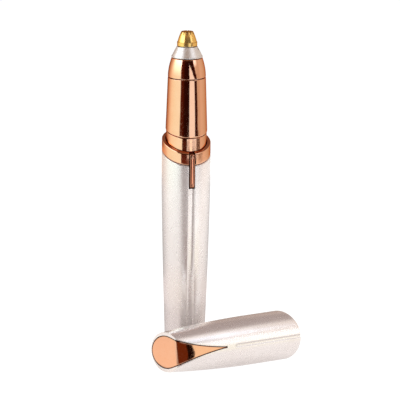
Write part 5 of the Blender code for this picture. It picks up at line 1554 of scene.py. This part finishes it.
def add_floor():
    """Pale floor that shows as white and keeps a soft shadow: white plus part of the light."""
    r = Recipe("paper_floor")
    seen = seen_straight(r)
    pale = r.blend(r.noise(r.coordinates(), FIBRE_SCALE, 4.0), PAPER, PAPER_FIBRE)
    paper = r.node("ShaderNodeBsdfDiffuse", {"Color": r.blend(seen * 0.70, pale, UNLIT)})
    glow = r.blend(seen, UNLIT, PAPER_GLOW)
    white = r.node("ShaderNodeEmission", {"Color": glow, "Strength": 1.0})
    both = r.node("ShaderNodeAddShader", {0: paper, 1: white})
    r.node("ShaderNodeOutputMaterial", {"Surface": both})
    corners = FLOOR_HALF * np.array([(-1, -1, 0), (1, -1, 0), (1, 1, 0), (-1, 1, 0)])
    mesh_object("floor", corners, np.array([(0, 1, 2, 3)]), r.owner)


def add_world(studio):
    """White behind everything, and an even softer light on the object."""
    world = bpy.data.worlds.new("studio")
    bpy.context.scene.world = world
    r = Recipe(world)
    colour = r.blend(seen_straight(r), [studio.sky] * 3, (1, 1, 1))
    light = r.node("ShaderNodeBackground", {"Color": colour, "Strength": 1.0})
    r.node("ShaderNodeOutputWorld", {"Surface": light})


def add_lamp(name, power, turn, distance, height, size, colour):
    """Soft area lamp that points at the object's middle."""
    lamp = bpy.data.lights.new(name, "AREA")
    lamp.shape = "DISK"
    lamp.size, lamp.energy, lamp.color = size, power, colour
    item = linked(name, lamp)
    item.location = (distance * math.sin(turn), -distance * math.cos(turn), height)
    item.rotation_euler = (LIT_POINT - item.location).to_track_quat("-Z", "Y").to_euler()
    item.visible_glossy = False


def add_camera(studio):
    """Camera at the photograph's place: a level distance and height, then pitch, yaw and roll."""
    pitch, yaw, roll = studio.camera_pitch, studio.camera_yaw, studio.camera_roll
    level = Vector((math.sin(yaw), math.cos(yaw), 0))
    forward = level * math.cos(pitch) - Vector((0, 0, math.sin(pitch)))
    right = Vector((math.cos(yaw), -math.sin(yaw), 0))
    up = right.cross(forward)
    cos, sin = math.cos(roll), math.sin(roll)
    axes = Matrix((right * cos + up * sin, up * cos - right * sin, -forward))
    lens = bpy.data.cameras.new("camera")
    lens.sensor_width = 36
    lens.lens = studio.focal_share * lens.sensor_width
    lens.clip_start, lens.clip_end = 0.05, 20
    item = linked("camera", lens)
    place = Matrix.Translation((0, -studio.camera_distance, studio.camera_height))
    place = place @ axes.transposed().to_4x4()
    item.matrix_world = Matrix.Rotation(studio.camera_turn, 4, "Z") @ place
    bpy.context.scene.camera = item


class TRIMMER_OT_stage(bpy.types.Operator):
    """Floor, lamps, reflection screen, world and camera"""

    bl_idname = "trimmer.stage"
    bl_label = "Stage"

    def execute(self, context):
        studio = context.scene.trimmer_studio
        context.scene.view_settings.view_transform = "Standard"
        add_floor()
        add_world(studio)
        add_screen(studio)
        turn = studio.camera_turn
        add_lamp("key_lamp", studio.key_power, turn + KEY_TURN, *KEY_LAMP)
        add_lamp("fill_lamp", studio.fill_power, turn + FILL_TURN, *FILL_LAMP)
        add_camera(studio)
        return {"FINISHED"}


class TRIMMER_PT_panel(bpy.types.Panel):
    """Pieces, sizes and finishes of the trimmer"""

    bl_idname = "TRIMMER_PT_panel"
    bl_label = "Eyebrow trimmer"
    bl_space_type = "VIEW_3D"
    bl_region_type = "UI"
    bl_category = "Trimmer"

    def draw(self, context):
        layout = self.layout
        for operator in OPERATORS:
            layout.operator(operator.bl_idname)
        for name in GROUPS:
            box = layout.box()
            for key in GROUPS[name].__annotations__:
                box.prop(getattr(context.scene, name), key)


GROUPS = {
    "trimmer_sizes": TrimmerSizes,
    "trimmer_finishes": TrimmerFinishes,
    "trimmer_studio": TrimmerStudio,
}
OPERATORS = (
    TRIMMER_OT_barrel,
    TRIMMER_OT_collar,
    TRIMMER_OT_neck,
    TRIMMER_OT_head,
    TRIMMER_OT_guard,
    TRIMMER_OT_switch_bar,
    TRIMMER_OT_cap,
    TRIMMER_OT_inside,
    TRIMMER_OT_stage,
)
CLASSES = (*GROUPS.values(), *OPERATORS, TRIMMER_PT_panel)


def register():
    for item in CLASSES:
        bpy.utils.register_class(item)
    for name, group in GROUPS.items():
        setattr(bpy.types.Scene, name, PointerProperty(type=group))


def unregister():
    for name in GROUPS:
        delattr(bpy.types.Scene, name)
    for item in reversed(CLASSES):
        bpy.utils.unregister_class(item)


def main():
    register()
    bpy.ops.trimmer.barrel()
    bpy.ops.trimmer.collar()
    bpy.ops.trimmer.neck()
    bpy.ops.trimmer.head()
    bpy.ops.trimmer.guard()
    bpy.ops.trimmer.switch_bar()
    bpy.ops.trimmer.cap()
    bpy.ops.trimmer.inside()
    bpy.ops.trimmer.stage()
    bpy.context.view_layer.update()


if __name__ == "__main__":
    main()
